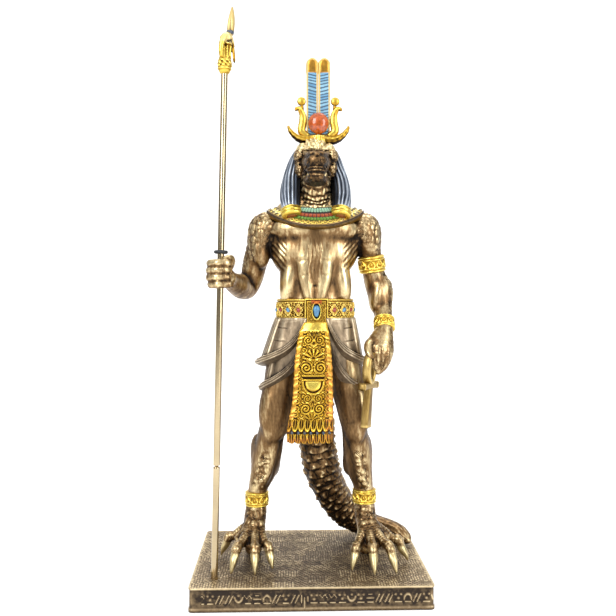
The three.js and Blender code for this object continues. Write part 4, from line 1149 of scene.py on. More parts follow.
def head_clay(grid):
    """The skull and both jaws, with the eyes, nostrils and mouth lines cut in."""
    clay = Clay(grid)
    clay.add(Ball((0, -1.5, 200.2), (9.4, 9.4, 8.2)), 1)
    clay.add(Ball((0, -7, 205.4), (6.2, 4.4, 4.4)), 1.2)
    clay.add(Limb([(0, -4, 200.6, 8.4, 6), (0, -12, 199, 7.4, 5.6), (-0.2, -20, 197.2, 6.1, 4.9),
                   (-0.5, -28, 196, 5.3, 4.3), (SNOUT_X, -34, 195.2, 5.5, 4.1),
                   (SNOUT_X, -37.6, 194.8, 4.5, 3.4)]), 1.2)
    clay.add(Limb([(0, -2, 193.4, 8, 5), (0, -12, 190.2, 6.6, 3.6), (-0.4, -22, 188.4, 5.2, 2.9),
                   (SNOUT_X, -32, 187.7, 4.5, 2.6), (SNOUT_X, -37, 187.5, 3.6, 2.4)]), 0.8)
    clay.add(Ball((SNOUT_X, -35.6, 190.9), (4.7, 4.9, 2.9)), 0.7)
    clay.add(Limb([(SNOUT_X - 3.2, -37.6, 188.4, 0.5), (SNOUT_X, -39.4, 188.2, 0.6),
                   (SNOUT_X + 3.2, -37.6, 188.4, 0.5)], across=(0, 0, 1), pace=1.2), 0.4)
    for s in (-1, 1):
        clay.add(Ball((s * 8, -9.2, 202.6), (3.1, 4.6, 3.6), (0, s * -10, 0)), 0.9)
        clay.add(Ball((s * 6.4, -7.4, 206), (3.2, 4, 3.2)), 0.9)
        clay.add(Ball((s * 8, -6.4, 196.2), (2.9, 6.6, 5.2), (0, s * 8, 0)), 1.2)
        clay.add(Limb([(s * 5.4, -15, 202.6, 1.2), (s * 4.2, -22, 200.9, 1.1),
                       (s * 3.2 - 0.5, -30, 199.4, 1)]), 1)
        clay.add(Ball((s * 8.4, -13.2, 201.6), (1.5, 1.2, 1.4)), 0.3)
        clay.cut(Limb([(s * 6.6, -12.6, 203.4, 0.3), (s * 8.4, -14, 203.5, 0.35),
                       (s * 10.2, -12, 202.8, 0.3)]), 0.3)
        clay.cut(Limb([(s * 4.6, -14.6, 204.6, 0.35), (s * 6.2, -14.9, 202, 0.4), (s * 7, -14, 198.6, 0.4),
                       (s * 8.4, -12, 197.6, 0.35), (s * 10.6, -9, 198.4, 0.35)], pace=1.5), 0.4)
        clay.cut(Limb([(s * (8 + 0.12 * (y + 9)), y, lip_height(y), 0.3) for y in (-8, -13)]
                      + [(s * 6.2 - 0.2, -20, lip_height(-20), 0.3),
                         (s * 5.4 - 0.5, -27, lip_height(-27), 0.3),
                         (s * 4.5 + SNOUT_X, -34, lip_height(-34), 0.25)], pace=2), 0.3)
        clay.add(Ball((s * 2.4 + SNOUT_X, -37.4, 198.2), (1.2, 1.8, 0.9)), 0.8)
        for i, y in enumerate((-34, -30.4, -26.8, -23.2, -19.6, -16)):
            wide = float(np.interp(y, (-36, -28, -12), (5.3, 5.3, 7.4)))
            clay.add(Ball((s * (wide - 0.5) + SNOUT_X * (y < -24), y, lip_height(y) + 1.6),
                          (0.8, 1.1, 1.1)), 0.5)
            clay.add(Ball((s * (wide - 1.8) + SNOUT_X * (y < -24), y - 1.4, 187.4 + 0.1 * i),
                          (0.9, 1.2, 1)), 0.4)
    clay.add(Ball((SNOUT_X, -39.2, 197.5), (1.5, 1.6, 1)), 0.5)
    for x, z in ((-3.2, 195.6), (-4, 193.8), (-2.4, 193.4), (3.6, 194.6)):
        clay.add(Ball((SNOUT_X + x, -40 + 0.16 * x * x, z), (0.8, 0.8, 0.75)), 0.3)
    for x in (1.6, 2.6):
        clay.cut(Limb([(SNOUT_X + x, -40.9 + 0.08 * x * x, 196, 0.2),
                       (SNOUT_X + x + 0.2, -40.7 + 0.1 * x * x, 193.4, 0.2)]), 0.2)
    clay.cut(Ball((SNOUT_X, -41.2, 196.3), (0.8, 1.2, 0.55)), 0.3)
    for z, r in ((190.8, 0.38), (192.1, 0.22), (189.6, 0.24)):
        clay.cut(Limb([(x + SNOUT_X, -40.5 + 0.145 * x * x + 0.33 * (z - 190.9)**2, z, r)
                       for x in (-4, -2, 0, 2, 4)], across=(0, 0, 1)), 0.3)
    clay.cut(Limb([(-5.6, -11.8, 204.4, 0.35), (0, -13.8, 205, 0.4), (5.6, -11.8, 204.4, 0.35)],
                  across=(0, 0, 1)), 0.5)
    rows = ((7, 6.2, -10.8, 206.4, 1.3), (6, 5.4, -10, 208.4, 1.3), (5, 4, -8.2, 210, 1.25),
            (3, 2, -6, 211.4, 1.2))
    for number, (count, half, y, z, r) in enumerate(rows):
        for i in range(count):
            x = (2 * i / (count - 1) - 1) * half
            high = r * (1 + 0.35 * math.sin(9.1 * i + 4 * number))
            clay.add(Ball((x - 0.2, y + 0.05 * x * x, z - 0.03 * x * x), (r * 0.84, r, high)), 0.3)
    return clay


def head_relief(points, normals):
    """Scales that shrink towards the snout."""
    y = points[:, 1]
    snout = step(-14, -20, y)
    broad = 0.4 * (scaled(points, 2.1, 31) - 0.5) * (1 - snout)
    fine = 0.26 * (scaled(points * (1, 0.8, 1), 1.5, 32) - 0.5) * snout
    return broad + fine * (1 - 0.5 * step(-37, -40, y))


def throat_relief(along, angle, share):
    """Wavy folds across the throat, each beaded."""
    wave = along + 0.4 * np.sin(angle * 3) + 0.3 * np.sin(angle * 7 + along)
    fold = np.abs(np.sin(np.pi * wave / 2.5)) ** 0.8
    row = np.floor(wave / 2.5)
    beads = np.abs(np.sin(angle * 9 + row * 2.3)) ** 0.6
    return 0.7 * (fold - 0.5) + 0.55 * fold * (beads - 0.5)


def head_and_throat():
    size = sizes()
    clay = head_clay(size["head_grid"])
    points, faces = clay.skin((-14, -43, 182), (14, 10, 216))
    points = carve(points, faces, head_relief)
    x, y, z = points.T
    crest = step(204.8, 206, z) * step(-4, -8, y)
    brow = step(199, 201, z) * step(5.4, 6.6, np.abs(x)) * step(-5, -8, y)
    muzzle = step(-16, -30, y)
    # The muzzle is made darker by 0.22: painted shade on the snout's end and underside.
    raised = standing(points, faces, level=0.28) - 0.22 * muzzle + 0.42 * crest + 0.08 * brow
    piece("head", points, faces, "cast_bronze", horn=crest * 0.6, raised=np.clip(raised, 0, 1),
          kept=SKIN_KEPT)
    throat = [(0, -5, 170, 7.2, 8), (0, -7, 180, 6.8, 8.4), (0, -9.4, 188, 6.9, 8.4), (0, -8, 196, 7, 8)]
    points, faces = swept(throat, 150, 110, throat_relief)
    piece("throat", points, faces, "cast_bronze", level=0.42)


# Ornament that is drawn in relief on a flat or curved panel

def spiral(x, y, pitch, radius, hand):
    """One scroll's coil, as a rounded line."""
    r = np.hypot(x, y)
    arm = np.mod(r / pitch - hand * np.arctan2(y, x) / (2 * np.pi), 1)
    return bump(arm, 0.5, 0.4) * (r < radius)


def drop(x, y, wide, high):
    """A teardrop with a raised rim and a bead inside; its point is towards +y."""
    narrow = wide * np.clip(1 - 0.75 * (y / high + 0.2), 0.12, 1.15)
    e = np.hypot(x / narrow, y / high)
    return np.maximum(bump(e, 1, 0.34), 0.9 * bump(e, 0, 0.45))


def filigree(x, y, pitch):
    """Rings, beads and slanted stems, one of each in every square of the pitch."""
    a, b = np.mod(x / pitch, 1) - 0.5, np.mod(y / pitch, 1) - 0.5
    r = np.hypot(a, b)
    stems = bump(np.abs(np.abs(a) - np.abs(b)), 0, 0.13) * (r > 0.36)
    return np.maximum.reduce([bump(r, 0.29, 0.11), bump(r, 0, 0.14), stems])


def turned(points, degrees, place):
    """Points turned by degrees about X, Y and Z, and then set in place."""
    x, y, z = (math.radians(v) for v in degrees)
    matrix = np.array(Matrix.Rotation(z, 3, "Z") @ Matrix.Rotation(y, 3, "Y") @ Matrix.Rotation(x, 3, "X"))
    return points @ matrix.T + np.array(place)


def hoop(radii, high, thick, columns, rows, relief, tilt, place, inward=0.8):
    """A closed band round a limb. relief(mm round, share up) adds to its thickness; inward fills it."""
    angle = np.linspace(0, 2 * np.pi, columns, endpoint=False)
    share = np.linspace(0, 1, rows)
    ring = np.stack([radii[0] * np.cos(angle), radii[1] * np.sin(angle), np.zeros(columns)], axis=1)
    out = unit(np.stack([np.cos(angle) / radii[0], np.sin(angle) / radii[1], np.zeros(columns)], axis=1))
    run = angle * (radii[0] + radii[1]) / 2
    up = np.zeros((rows, 1, 3))
    up[:, 0, 2] = (share - 0.5) * high
    height = thick + relief(run[None, :], share[:, None])
    height = height * (1 - (2 * share[:, None] - 1) ** 10)
    outer = ring[None] + up + out[None] * height[..., None]
    inner = ring[None] + up - out[None] * inward
    points, faces = slab(outer, inner, closed=True)
    return turned(points, tilt, place), faces, height


def washed(height, low, span):
    """A grid's relief as the wash's height, with the sheet's hidden side left in the middle tone."""
    return both_sides(np.clip((height - low) / span, 0, 1), 0.4)


def band_relief(run, share, count, radii):
    """Rims above and below a row of leaves."""
    rims = np.maximum(bump(share, 0.09, 0.09), bump(share, 0.91, 0.09))
    lines = 0.7 * np.maximum(bump(share, 0.24, 0.05), bump(share, 0.76, 0.05))
    pitch = 2 * np.pi * (radii[0] + radii[1]) / 2 / count
    across = (np.mod(run / pitch, 1) - 0.5) * 2
    leaf = drop(across * 1.1, (share - 0.5) * 4.2 + 0 * run, 0.8, 0.95)
    return 0.75 * np.maximum(rims, lines) + 0.6 * leaf * ((share > 0.26) & (share < 0.74))


BANDS = {
    "anklet_left": ((5, 5.4), 7.6, (0, 0, 0), (-29.7, 0, 29.6)),
    "anklet_right": ((5, 5.4), 7.6, (0, 0, 0), (25.3, 0, 30.6)),
    "armlet": ((6, 6.7), 8.8, (6, -8, 0), (29.3, 1.9, 149.4)),
    "cuff": ((4.3, 4.6), 6.8, (-32, 2, 0), (34.5, -7.6, 118.6)),
}


def bands():
    """The two anklets, the armlet and the cuff."""
    for name, (radii, high, tilt, place) in BANDS.items():
        points, faces, height = hoop(radii, high, 0.5, 220, 34,
                                     lambda run, share, r=radii: band_relief(run, share, 9, r), tilt, place)
        piece(name, points, faces, "gold_leafing", height=0.45 + 0.55 * washed(height, 0.5, 0.75))


# Wig

FALL = [(0, 1, 207.4, 6, 4.5), (0, 4.5, 203.4, 10, 6.4), (0, 7, 194, 12, 7), (0, 9.2, 182, 14.2, 6.6),
        (0, 11.5, 168, 14.4, 5.2), (0, 12.2, 158, 13.4, 4)]
LAPPET = [(7, 1, 205.8, 3, 6), (9.6, -0.6, 200.2, 3.7, 6.6), (11.6, -2.6, 191, 4.6, 7),
          (12.6, -7.4, 182, 4.9, 5.6), (12.2, -12, 175, 3.8, 3)]


def strand_relief(along, angle, count, rise, seed):
    """Strands that run the whole length, some broader and higher than their neighbours."""
    place = angle * count / (2 * np.pi) + 0.3 * np.sin(along * 0.16 + seed)
    index = np.mod(np.floor(place), count)
    level = numbered(index, seed)[:, 0]
    fold = np.abs(np.sin(np.pi * place)) ** 0.75
    broad = np.sin(angle * round(count / 3) + seed) * 0.35
    return rise * (1.7 * (fold - 0.5) + 1.1 * (level - 0.5) * fold + broad)


def wig():
    size = sizes()
    parts = []
    for s, seed in ((-1, 41), (1, 42)):
        rows = [(s * x, y, z, wide, deep) for x, y, z, wide, deep in LAPPET]
        count = round(2 * np.pi * 5.2 / size["strand_pitch"])
        parts.append(swept(rows, count * 8, 90, lambda a, g, t, c=count, k=seed: strand_relief(
            a, g, c, size["strand_rise"], k), blunt=0.04))
    count = round(2 * np.pi * 10 / size["strand_pitch"])
    parts.append(swept(FALL, count * 7, 110, lambda a, g, t: strand_relief(
        a, g, count, size["strand_rise"], 43)))
    points, faces = merge(*parts)
    shaded = 0.4 * (1 - step(8.4, 12, np.abs(points[:, 0]))) * step(0, -3, points[:, 1])
    raised = standing(points, faces, level=0.42, fine=0.6) - shaded
    piece("wig", points, faces, "wig_paint", raised=np.clip(raised, 0, 1))

    def roll(run, share):
        return 0.5 * np.sin(share * np.pi) + 0.3 * np.abs(np.sin(share * np.pi * 3)) + 0 * run

    rolls = [hoop((3.6, 2.8), 5.2, 0.8, 110, 26, roll, (-30, s * 8, 0), (s * 12.2, -14.2, 173.8))[:2]
             for s in (-1, 1)]
    piece("lappet_rolls", *merge(*rolls), "gold_leafing")
    # The plugs in the rolls' hollows take orange paint darkened to 0.4 of it: painted shade in the hollow.
    hollows = [swept([(s * 12.2, -13.4, 175, 3.8, 2.8), (s * 12.3, -15.5, 171.2, 3.2, 2.3)], 48, 10,
                     blunt=0.3) for s in (-1, 1)]
    piece("lappet_ends", *merge(*hollows), "gold_leafing", coat=0.8, raised=0.4, paint=shade("orange") * 0.4)


# Collar

COLLAR = {"neck": 7.5, "wide": 24.8, "front": 16, "back": 15}


def collar_grid(columns, rows, under):
    """The collar's upper or under surface, draped over the shoulders and the breast."""
    angle = np.linspace(0, 2 * np.pi, columns, endpoint=False)[None, :]
    share = np.linspace(0, 1, rows)[:, None]
    cosine, sine = np.cos(angle), np.sin(angle)
    ends = np.abs(sine) ** 1.5
    front = sine < 0
    deep = 8 + (np.where(front, COLLAR["front"], COLLAR["back"]) - 8) * share**0.8
    fall = share * 1.6 + (1 - ends) * 1.4 * share**2 + ends * np.where(front, 10.6, 9) * share**1.4
    lift = -1.4 if under else 2.2 - 0.6 * share * (1 - ends)
    x = (COLLAR["neck"] + (COLLAR["wide"] - COLLAR["neck"]) * share) * cosine
    y = (deep + lift * 0.8 * ends) * sine - 1.6
    return np.stack([x, y, 178.2 - fall + lift * (1 - 0.5 * ends)], axis=-1), angle, share


def collar():
    """Rows of beads and petals from the neck to a rolled rim, painted in turn; the shoulders are pierced."""
    columns, rows = 640, 90
    top, angle, share = collar_grid(columns, rows, False)
    under = collar_grid(columns, rows, True)[0]
    edges = np.array([0.37, 0.56, 0.61, 0.735, 0.85, 0.95])
    row = np.searchsorted(edges, share) + 0 * angle.astype(int)
    starts, ends = np.append(0, edges), np.append(edges, 1)
    inside = (share - starts[row]) / (ends[row] - starts[row])
    counts = np.array([40, 72, 72, 60, 84, 52, 20])[row]
    across = np.mod(angle / (2 * np.pi) * counts, 1) * 2 - 1
    along = inside * 2 - 1
    bead = np.clip(1 - np.abs(across) ** 3, 0, 1) * np.clip(1 - np.abs(along) ** 4, 0, 1)
    petal = drop(across * 1.05, -along * 1.05, 0.85, 0.95)
    round_row = np.sqrt(np.clip(1 - along**2, 0, 1))
    work = np.select([row == 6, row == 5, row == 2, row == 0],
                     [round_row, petal, 0 * bead, round_row * 0.6], 0.85 * bead)
    side = step(0.5, 0.62, np.abs(np.cos(angle))) * (row < 6)
    hole = np.hypot(np.mod(angle / (2 * np.pi) * 44 + 0.5 * np.floor(share * 6), 1) - 0.5,
                    np.mod(share * 6, 1) - 0.5)
    work = work * (1 - side) + side * step(0.24, 0.36, hole)
    top = top + grid_normals(top, closed=True) * (0.6 * work)[..., None]
    points, faces = slab(top, under, closed=True)
    names = ["cream", "mint", "gold_deep", "red", "green", "gold_high", "bronze_mid"]
    paint = np.array([shade(name) for name in names])[row]
    patch = (np.sin(angle * 23 + share * 31) > 0.75)[..., None]
    pierced = np.where(patch, shade("gold_high"), shade("cream"))
    paint = paint * (1 - side[..., None]) + side[..., None] * pierced
    coat = np.where(row == 6, 0.8, np.where(row == 5, 0.4, 0.92))
    coat = coat * (1 - side) + side * 0.8
    piece("collar", points, faces, "gold_leafing", coat=both_sides(coat, 0.0),
          paint=both_sides(paint, shade("bronze_mid")), height=washed(work, 0, 1), kept=SHEET_KEPT)


# Belt and buckle

BELT = {"z": 125.9, "high": 11.2, "wide": 19, "deep": 14, "y": -2}
BUCKLE = {"half": 5.9, "low": 118.4, "high": 131.6, "y": -17.2}


def belt_relief(run, share, count, around):
    """Rims, open filigree and raised diamond settings at even steps."""
    high = BELT["high"]
    y = (share - 0.5) * high
    rims = np.maximum(bump(share, 0.05, 0.06), bump(share, 0.95, 0.06))
    rims = np.maximum(rims, 0.6 * np.maximum(bump(share, 0.16, 0.04), bump(share, 0.84, 0.04)))
    pitch = around / count
    x = (np.mod(run / pitch, 1) - 0.5) * pitch
    diamond = np.abs(x) / 2 + np.abs(y) / 3
    work = scrollwork(run, y + 1.3, 2.6) * (share > 0.18) * (share < 0.82) * (diamond > 1.1)
    setting = 0.5 * (diamond < 0.8) + 0.9 * bump(diamond, 1, 0.22)
    return 0.9 * rims + 0.6 * work + setting * (diamond < 1.25)


def belt():
    count = bpy.context.scene.statuette_sizes.belt_gems
    radii = (BELT["wide"], BELT["deep"])
    around = 2 * np.pi * sum(radii) / 2
    points, faces, height = hoop(radii, BELT["high"], 0.2, 900, 56,
                                 lambda run, share: belt_relief(run, share, count, around),
                                 (0, 0, 0), (0, BELT["y"], BELT["z"]), inward=4.5)
    height = washed(height, 0.2, 0.9)
    piece("belt", points, faces, "gold_leafing", height=height, coat=0.3 * height**2, paint=shade("cream"),
          kept=SHEET_KEPT)
    number = np.arange(count) + 0.5
    turn = number / count * 2 * np.pi
    from_front = np.floor(np.abs(np.mod(number - count / 4, count) - count / 2))
    shown = (np.abs(radii[0] * np.cos(turn)) > BUCKLE["half"] + 1) | (np.sin(turn) > 0)
    for parity, name, paint in ((1, "belt_gems_red", "red"), (0, "belt_gems_blue", "sky")):
        angle = turn[shown & (np.mod(from_front, 2) == parity)]
        out = unit(np.stack([np.cos(angle) / radii[0], np.sin(angle) / radii[1], angle * 0], axis=1))
        spots = np.stack([radii[0] * np.cos(angle), radii[1] * np.sin(angle) + BELT["y"],
                          angle * 0 + BELT["z"]], axis=1)
        gems(name, spots + out * 0.9, out, (1, 1.3, 0.7), shade(paint) * 0.9)
    buckle()


def buckle():
    columns, rows = 84, 92
    u, v = np.meshgrid(np.linspace(-1, 1, columns), np.linspace(0, 1, rows))
    x, z = u * BUCKLE["half"], BUCKLE["low"] + v * (BUCKLE["high"] - BUCKLE["low"])
    y = BUCKLE["y"] + 0.9 * u**2 + 0 * v
    edge = np.maximum(np.abs(u), np.abs(2 * v - 1))
    border = np.maximum(bump(edge, 0.93, 0.09), 0.6 * bump(edge, 0.77, 0.05))
    work = filigree(x + 0.75, z, 1.5) * (edge < 0.72)
    stone = np.hypot(x / 1.9, (z - 125.4) / 3.8)
    height = 0.7 * border + 0.4 * work * (stone > 1.15) + 0.9 * bump(stone, 1.1, 0.2)
    front = np.stack([x, y - height, z], axis=-1)
    points, faces = slab(front, front * np.array([1, 0, 1]) + np.array([0, -14.5, 0]))
    band_top = (np.abs(x) < 2.6) & (v > 0.8) & (v < 0.95)
    piece("buckle", points, faces, "gold_leafing", coat=both_sides(np.where(band_top, 0.85, 0.0), 0.0),
          paint=shade("orange"), height=washed(height, 0, 0.7))
    stone = [(0, BUCKLE["y"] - 0.1, 128.2, 1.7, 1), (0, BUCKLE["y"] - 0.3, 126, 1.6, 1.2),
             (0, BUCKLE["y"], 122.4, 0.9, 0.6)]
    points, faces = swept(stone, 32, 24, blunt=0.3)
    piece("buckle_stone", points, faces, "gem_glaze", coat=1, paint=shade("sky") * 0.85, raised=0.7)


def gem_glaze():
    """Glossy enamel paint with a clear varnish, which gives each stone one sharp highlight."""
    made, tree, shader = new_material("varnished_enamel")
    paint = node(tree, "ShaderNodeAttribute", attribute_name="paint").outputs["Color"]
    spot = node(tree, "ShaderNodeTexCoord").outputs["Object"]
    cloud = node(tree, "ShaderNodeTexNoise", [("Vector", spot), ("Scale", 1 / 0.0012), ("Detail", 2.0)])
    dark = node(tree, "ShaderNodeMapRange", [("Value", cloud.outputs["Fac"]), ("From Min", 0.3),
                                             ("From Max", 0.7), ("To Min", 0.55), ("To Max", 1.1)])
    tone = node(tree, "ShaderNodeVectorMath", [(0, paint), (1, dark.outputs[0])], operation="MULTIPLY")
    tree.links.new(tone.outputs[0], shader.inputs["Base Color"])
    shader.inputs["Roughness"].default_value = 0.22
    shader.inputs["Coat Weight"].default_value = 0.6
    shader.inputs["Coat Roughness"].default_value = 0.08
    return made


def stone_tree():
    """A tree that sets a faceted stone of the given size on every point of the mesh."""
    if "stones_on_points" in bpy.data.node_groups:
        return bpy.data.node_groups["stones_on_points"]
    tree = bpy.data.node_groups.new("stones_on_points", "GeometryNodeTree")
    face = tree.interface
    face.new_socket("Geometry", in_out="INPUT", socket_type="NodeSocketGeometry")
    face.new_socket("Size", in_out="INPUT", socket_type="NodeSocketVector")
    face.new_socket("Finish", in_out="INPUT", socket_type="NodeSocketMaterial")
    face.new_socket("Geometry", in_out="OUTPUT", socket_type="NodeSocketGeometry")
    given = node(tree, "NodeGroupInput")
    out = node(tree, "GeometryNodeInputNamedAttribute", [("Name", "out")], data_type="FLOAT_VECTOR")
    turn = node(tree, "FunctionNodeAlignRotationToVector", [("Vector", out.outputs["Attribute"])], axis="Z")
    stone = node(tree, "GeometryNodeMeshIcoSphere", [("Radius", 1.0), ("Subdivisions", 2)])
    placed = node(tree, "GeometryNodeInstanceOnPoints", [
        ("Points", given.outputs["Geometry"]), ("Instance", stone.outputs["Mesh"]),
        ("Rotation", turn.outputs["Rotation"]), ("Scale", given.outputs["Size"])])
    real = node(tree, "GeometryNodeRealizeInstances", [("Geometry", placed.outputs["Instances"])])
    smooth = node(tree, "GeometryNodeSetShadeSmooth", [("Geometry", real.outputs["Geometry"])])
    coated = node(tree, "GeometryNodeSetMaterial", [("Geometry", smooth.outputs["Geometry"]),
                                                    ("Material", given.outputs["Finish"])])
    node(tree, "NodeGroupOutput", [("Geometry", coated.outputs["Geometry"])])
    return tree


def evaluated(made, tree, values):
    """The plain mesh that a geometry tree makes of an object, in place of the object."""
    modifier = made.modifiers.new("pattern", "NODES")
    modifier.node_group = tree
    for item in tree.interface.items_tree:
        if item.in_out == "INPUT" and item.name in values:
            modifier[item.identifier] = values[item.name]
    return applied(made, modifier)


def gems(name, spots, out, radii, paint):
    """A stone on each spot, flattened along the direction in which it looks out."""
    mesh = bpy.data.meshes.new(name)
    mesh.from_pydata([tuple(p) for p in world(spots)], [], [])
    layer = mesh.attributes.new("out", "FLOAT_VECTOR", "POINT")
    layer.data.foreach_set("vector", np.asarray(out, np.float32).ravel())
    made = bpy.data.objects.new(name, mesh)
    bpy.context.scene.collection.objects.link(made)
    evaluated(made, stone_tree(), {"Size": [r * PART for r in radii], "Finish": finish("gem_glaze")})
    give(made, "paint", paint)
    return settle(made, "figure")


# Kilt

KILT_PARTING = 0.24  # radians each side of the middle, where the layers part in front
KILT_LAYERS = {
    "kilt_upper": {"hem_front": 119, "hem_side": 96.2, "wide": 24.4, "deep": 18.4, "x": -1.9, "lift": 0.9},
    "kilt_lower": {"hem_front": 114, "hem_side": 82.8, "wide": 22.8, "deep": 17.2, "x": -3, "lift": -0.3},
}


def kilt_layer(name, plan, size):
    """One wrapped layer: its hem climbs to the buckle, rolls out and carries a ridged trim."""
    columns, rows = 330, 120
    u, v = np.meshgrid(np.linspace(0, 1, columns), np.linspace(1, 0, rows))
    away = 1 - np.abs(2 * u - 1)
    angle = (-np.pi / 2 + KILT_PARTING) + (2 * np.pi - 2 * KILT_PARTING) * u
    hem = plan["hem_side"] + (plan["hem_front"] - plan["hem_side"]) * np.exp(-away / 0.14)
    fallen = (1 - v) ** 0.8
    z = 122 + (hem - 122) * fallen
    from_hem = z - hem
    trim = 1 - step(4.2, 4.8, from_hem)
    roll = np.sqrt(np.clip(1 - ((from_hem - 2.2) / 2.8) ** 2, 0, 1)) * (0.9 + 1.7 * step(0.08, 0.34, away))
    open_out = fallen * step(0.02, 0.3, away)
    seams = sum(np.exp(-((away - at) / 0.006) ** 2) for at in (0.285, 0.32)) * (from_hem > 3.8)
    creases = sum(bump(z, level + 5 * away, 0.5) for level in (116, 109.6))
    creases = creases * step(0.15, 0.19, away) * (away < 0.27)
    folds = 0.5 * np.sin(away * 24 + 0.08 * z) * step(0.34, 0.45, away) * fallen
    folds = folds + 0.12 * np.sin(away * 70 + 0.5 * np.sin(z * 0.3)) * step(0.1, 0.2, away)
    ridges = trim * 0.3 * np.cos(2 * np.pi * from_hem / size["pleat_pitch"])
    outer = 1.6 + plan["lift"] + roll * trim + ridges + folds + 0.7 * seams - 0.22 * creases
    tuck = np.sqrt(np.clip(1 - (1 - np.minimum(from_hem / 2.8, 1)) ** 2, 0, 1))
    grids = []
    for extra in (-1.4 + (outer + 1.4) * tuck, np.full_like(outer, -1.6)):
        x = plan["x"] * open_out + (18 + (plan["wide"] - 18) * open_out + extra) * np.cos(angle)
        y = -2 + (13 + (plan["deep"] - 13) * open_out + extra) * np.sin(angle)
        grids.append(np.stack([x, y, z], axis=-1))
    points, faces = slab(grids[0][:, ::-1], grids[1][:, ::-1])
    piece(name, points, faces, "cloth_bronze", kept=SHEET_KEPT, level=0.44 if name == "kilt_upper" else 0.34)


def kilt():
    size = sizes()
    for name, plan in KILT_LAYERS.items():
        kilt_layer(name, plan, size)


# Apron

APRON = {"top": 120.0, "foot": 62.6, "thick": 3.0}
APRON_LEFT = [(-14.2, 0), (-14.4, 0.08), (-13.2, 0.2), (-11.7, 0.33), (-11, 0.5), (-10.3, 0.7), (-8.4, 0.9),
              (-6, 1)]


def scrollwork(x, y, pitch):
    """Scrolls that touch and turn by turns, mirrored about the middle, with a bead between each four."""
    a, b = np.mod(np.abs(x) / pitch, 1) - 0.5, np.mod(y / pitch, 1) - 0.5
    hand = 1 - 2 * np.mod(np.floor(y / pitch) + np.floor(np.abs(x) / pitch), 2)
    beads = bump(np.hypot(0.5 - np.abs(a), 0.5 - np.abs(b)), 0, 0.2)
    return np.maximum(spiral(a, b, 0.36, 0.5, hand), beads)


def palmette(x, y):
    """A fan of leaves that opens upwards from the origin."""
    r, turn = np.hypot(x, y), np.arctan2(x, y)
    return bump(np.mod(turn / 0.52 + 0.5, 1), 0.5, 0.4) * step(0.6, 1.2, r)


def apron_work(x, y, half):
    """The apron's relief, x from its middle and y down from its top: scrolls, leaves, a bowl, feathers."""
    ax = np.abs(x)
    work = scrollwork(x, y + 0.4, 3.1)
    bowl = np.hypot(x / 3.9, (y - 29) / 4.3)
    rim = np.hypot(x / 5.5, (y - 29) / 6)
    motifs = [(drop(x, 8.6 - y, 1.6, 2.9), (ax < 1.7) & (np.abs(y - 8.4) < 3.4)),
              (palmette(x, 17.6 - y), (np.hypot(x, 17.6 - y) < 4.6) & (y < 17.8)),
              (bump(rim, 0.93, 0.13), (rim < 1.06) & (y > 28)),
              (np.sqrt(np.clip(1 - bowl**2, 0, 1)), (bowl < 1) & (y > 28.6)),
              (np.maximum(bump(y, 27.8, 0.6), bump(y, 25.8, 0.6)), (ax < 5.4) & (np.abs(y - 26.8) < 1.7)),
              (drop(x, 39.6 - y, 1.5, 3), (ax < 1.7) & (np.abs(y - 39.4) < 3.4)),
              (palmette(x, 47 - y), (np.hypot(x, 47 - y) < 3.4) & (y < 47))]
    for middle, radius in ((8.6, 2.5), (22, 3.1), (36.6, 2.3), (41.6, 2.9)):
        motifs.append((spiral(ax - radius - 0.3, y - middle, radius * 0.46, radius, 1),
                       np.hypot(ax - radius - 0.3, y - middle) < radius))
    for value, place in motifs:
        work = np.where(place, value, work)
    out = half - ax
    leaf = bump(np.mod((y + 0.5 * out) / 2.9 + 0.3 * np.sin(y * 0.7), 1), 0.5, 0.42)
    leaves = 0.35 + 0.5 * leaf * (0.7 + 0.3 * np.sin(y * 1.7))
    work = np.where((out < 1.9) & (y < 54), leaves, work)
    work = np.where((y < 4.4) | (np.abs(y - 52.6) < 1.1), 0.8, work)
    for top, tall, shift in ((46.8, 5.6, 0), (53.6, 4.2, 1.5)):
        work = np.where(y > top, feather_row(x + shift, y, top, tall, 3.0, half), work)
    return work


def feather_row(x, y, top, tall, pitch, half):
    """Upright feathers side by side, each with a rim and a quill."""
    across = (np.mod(x / pitch, 1) - 0.5) * 2
    down = (y - top) / tall
    e = np.hypot(across / 0.92, (down - 0.35) / 0.65)
    inside = (down < 1.02) * (np.abs(x) < half)
    return np.maximum(bump(e, 0.9, 0.26), 0.7 * bump(across, 0, 0.2)) * inside


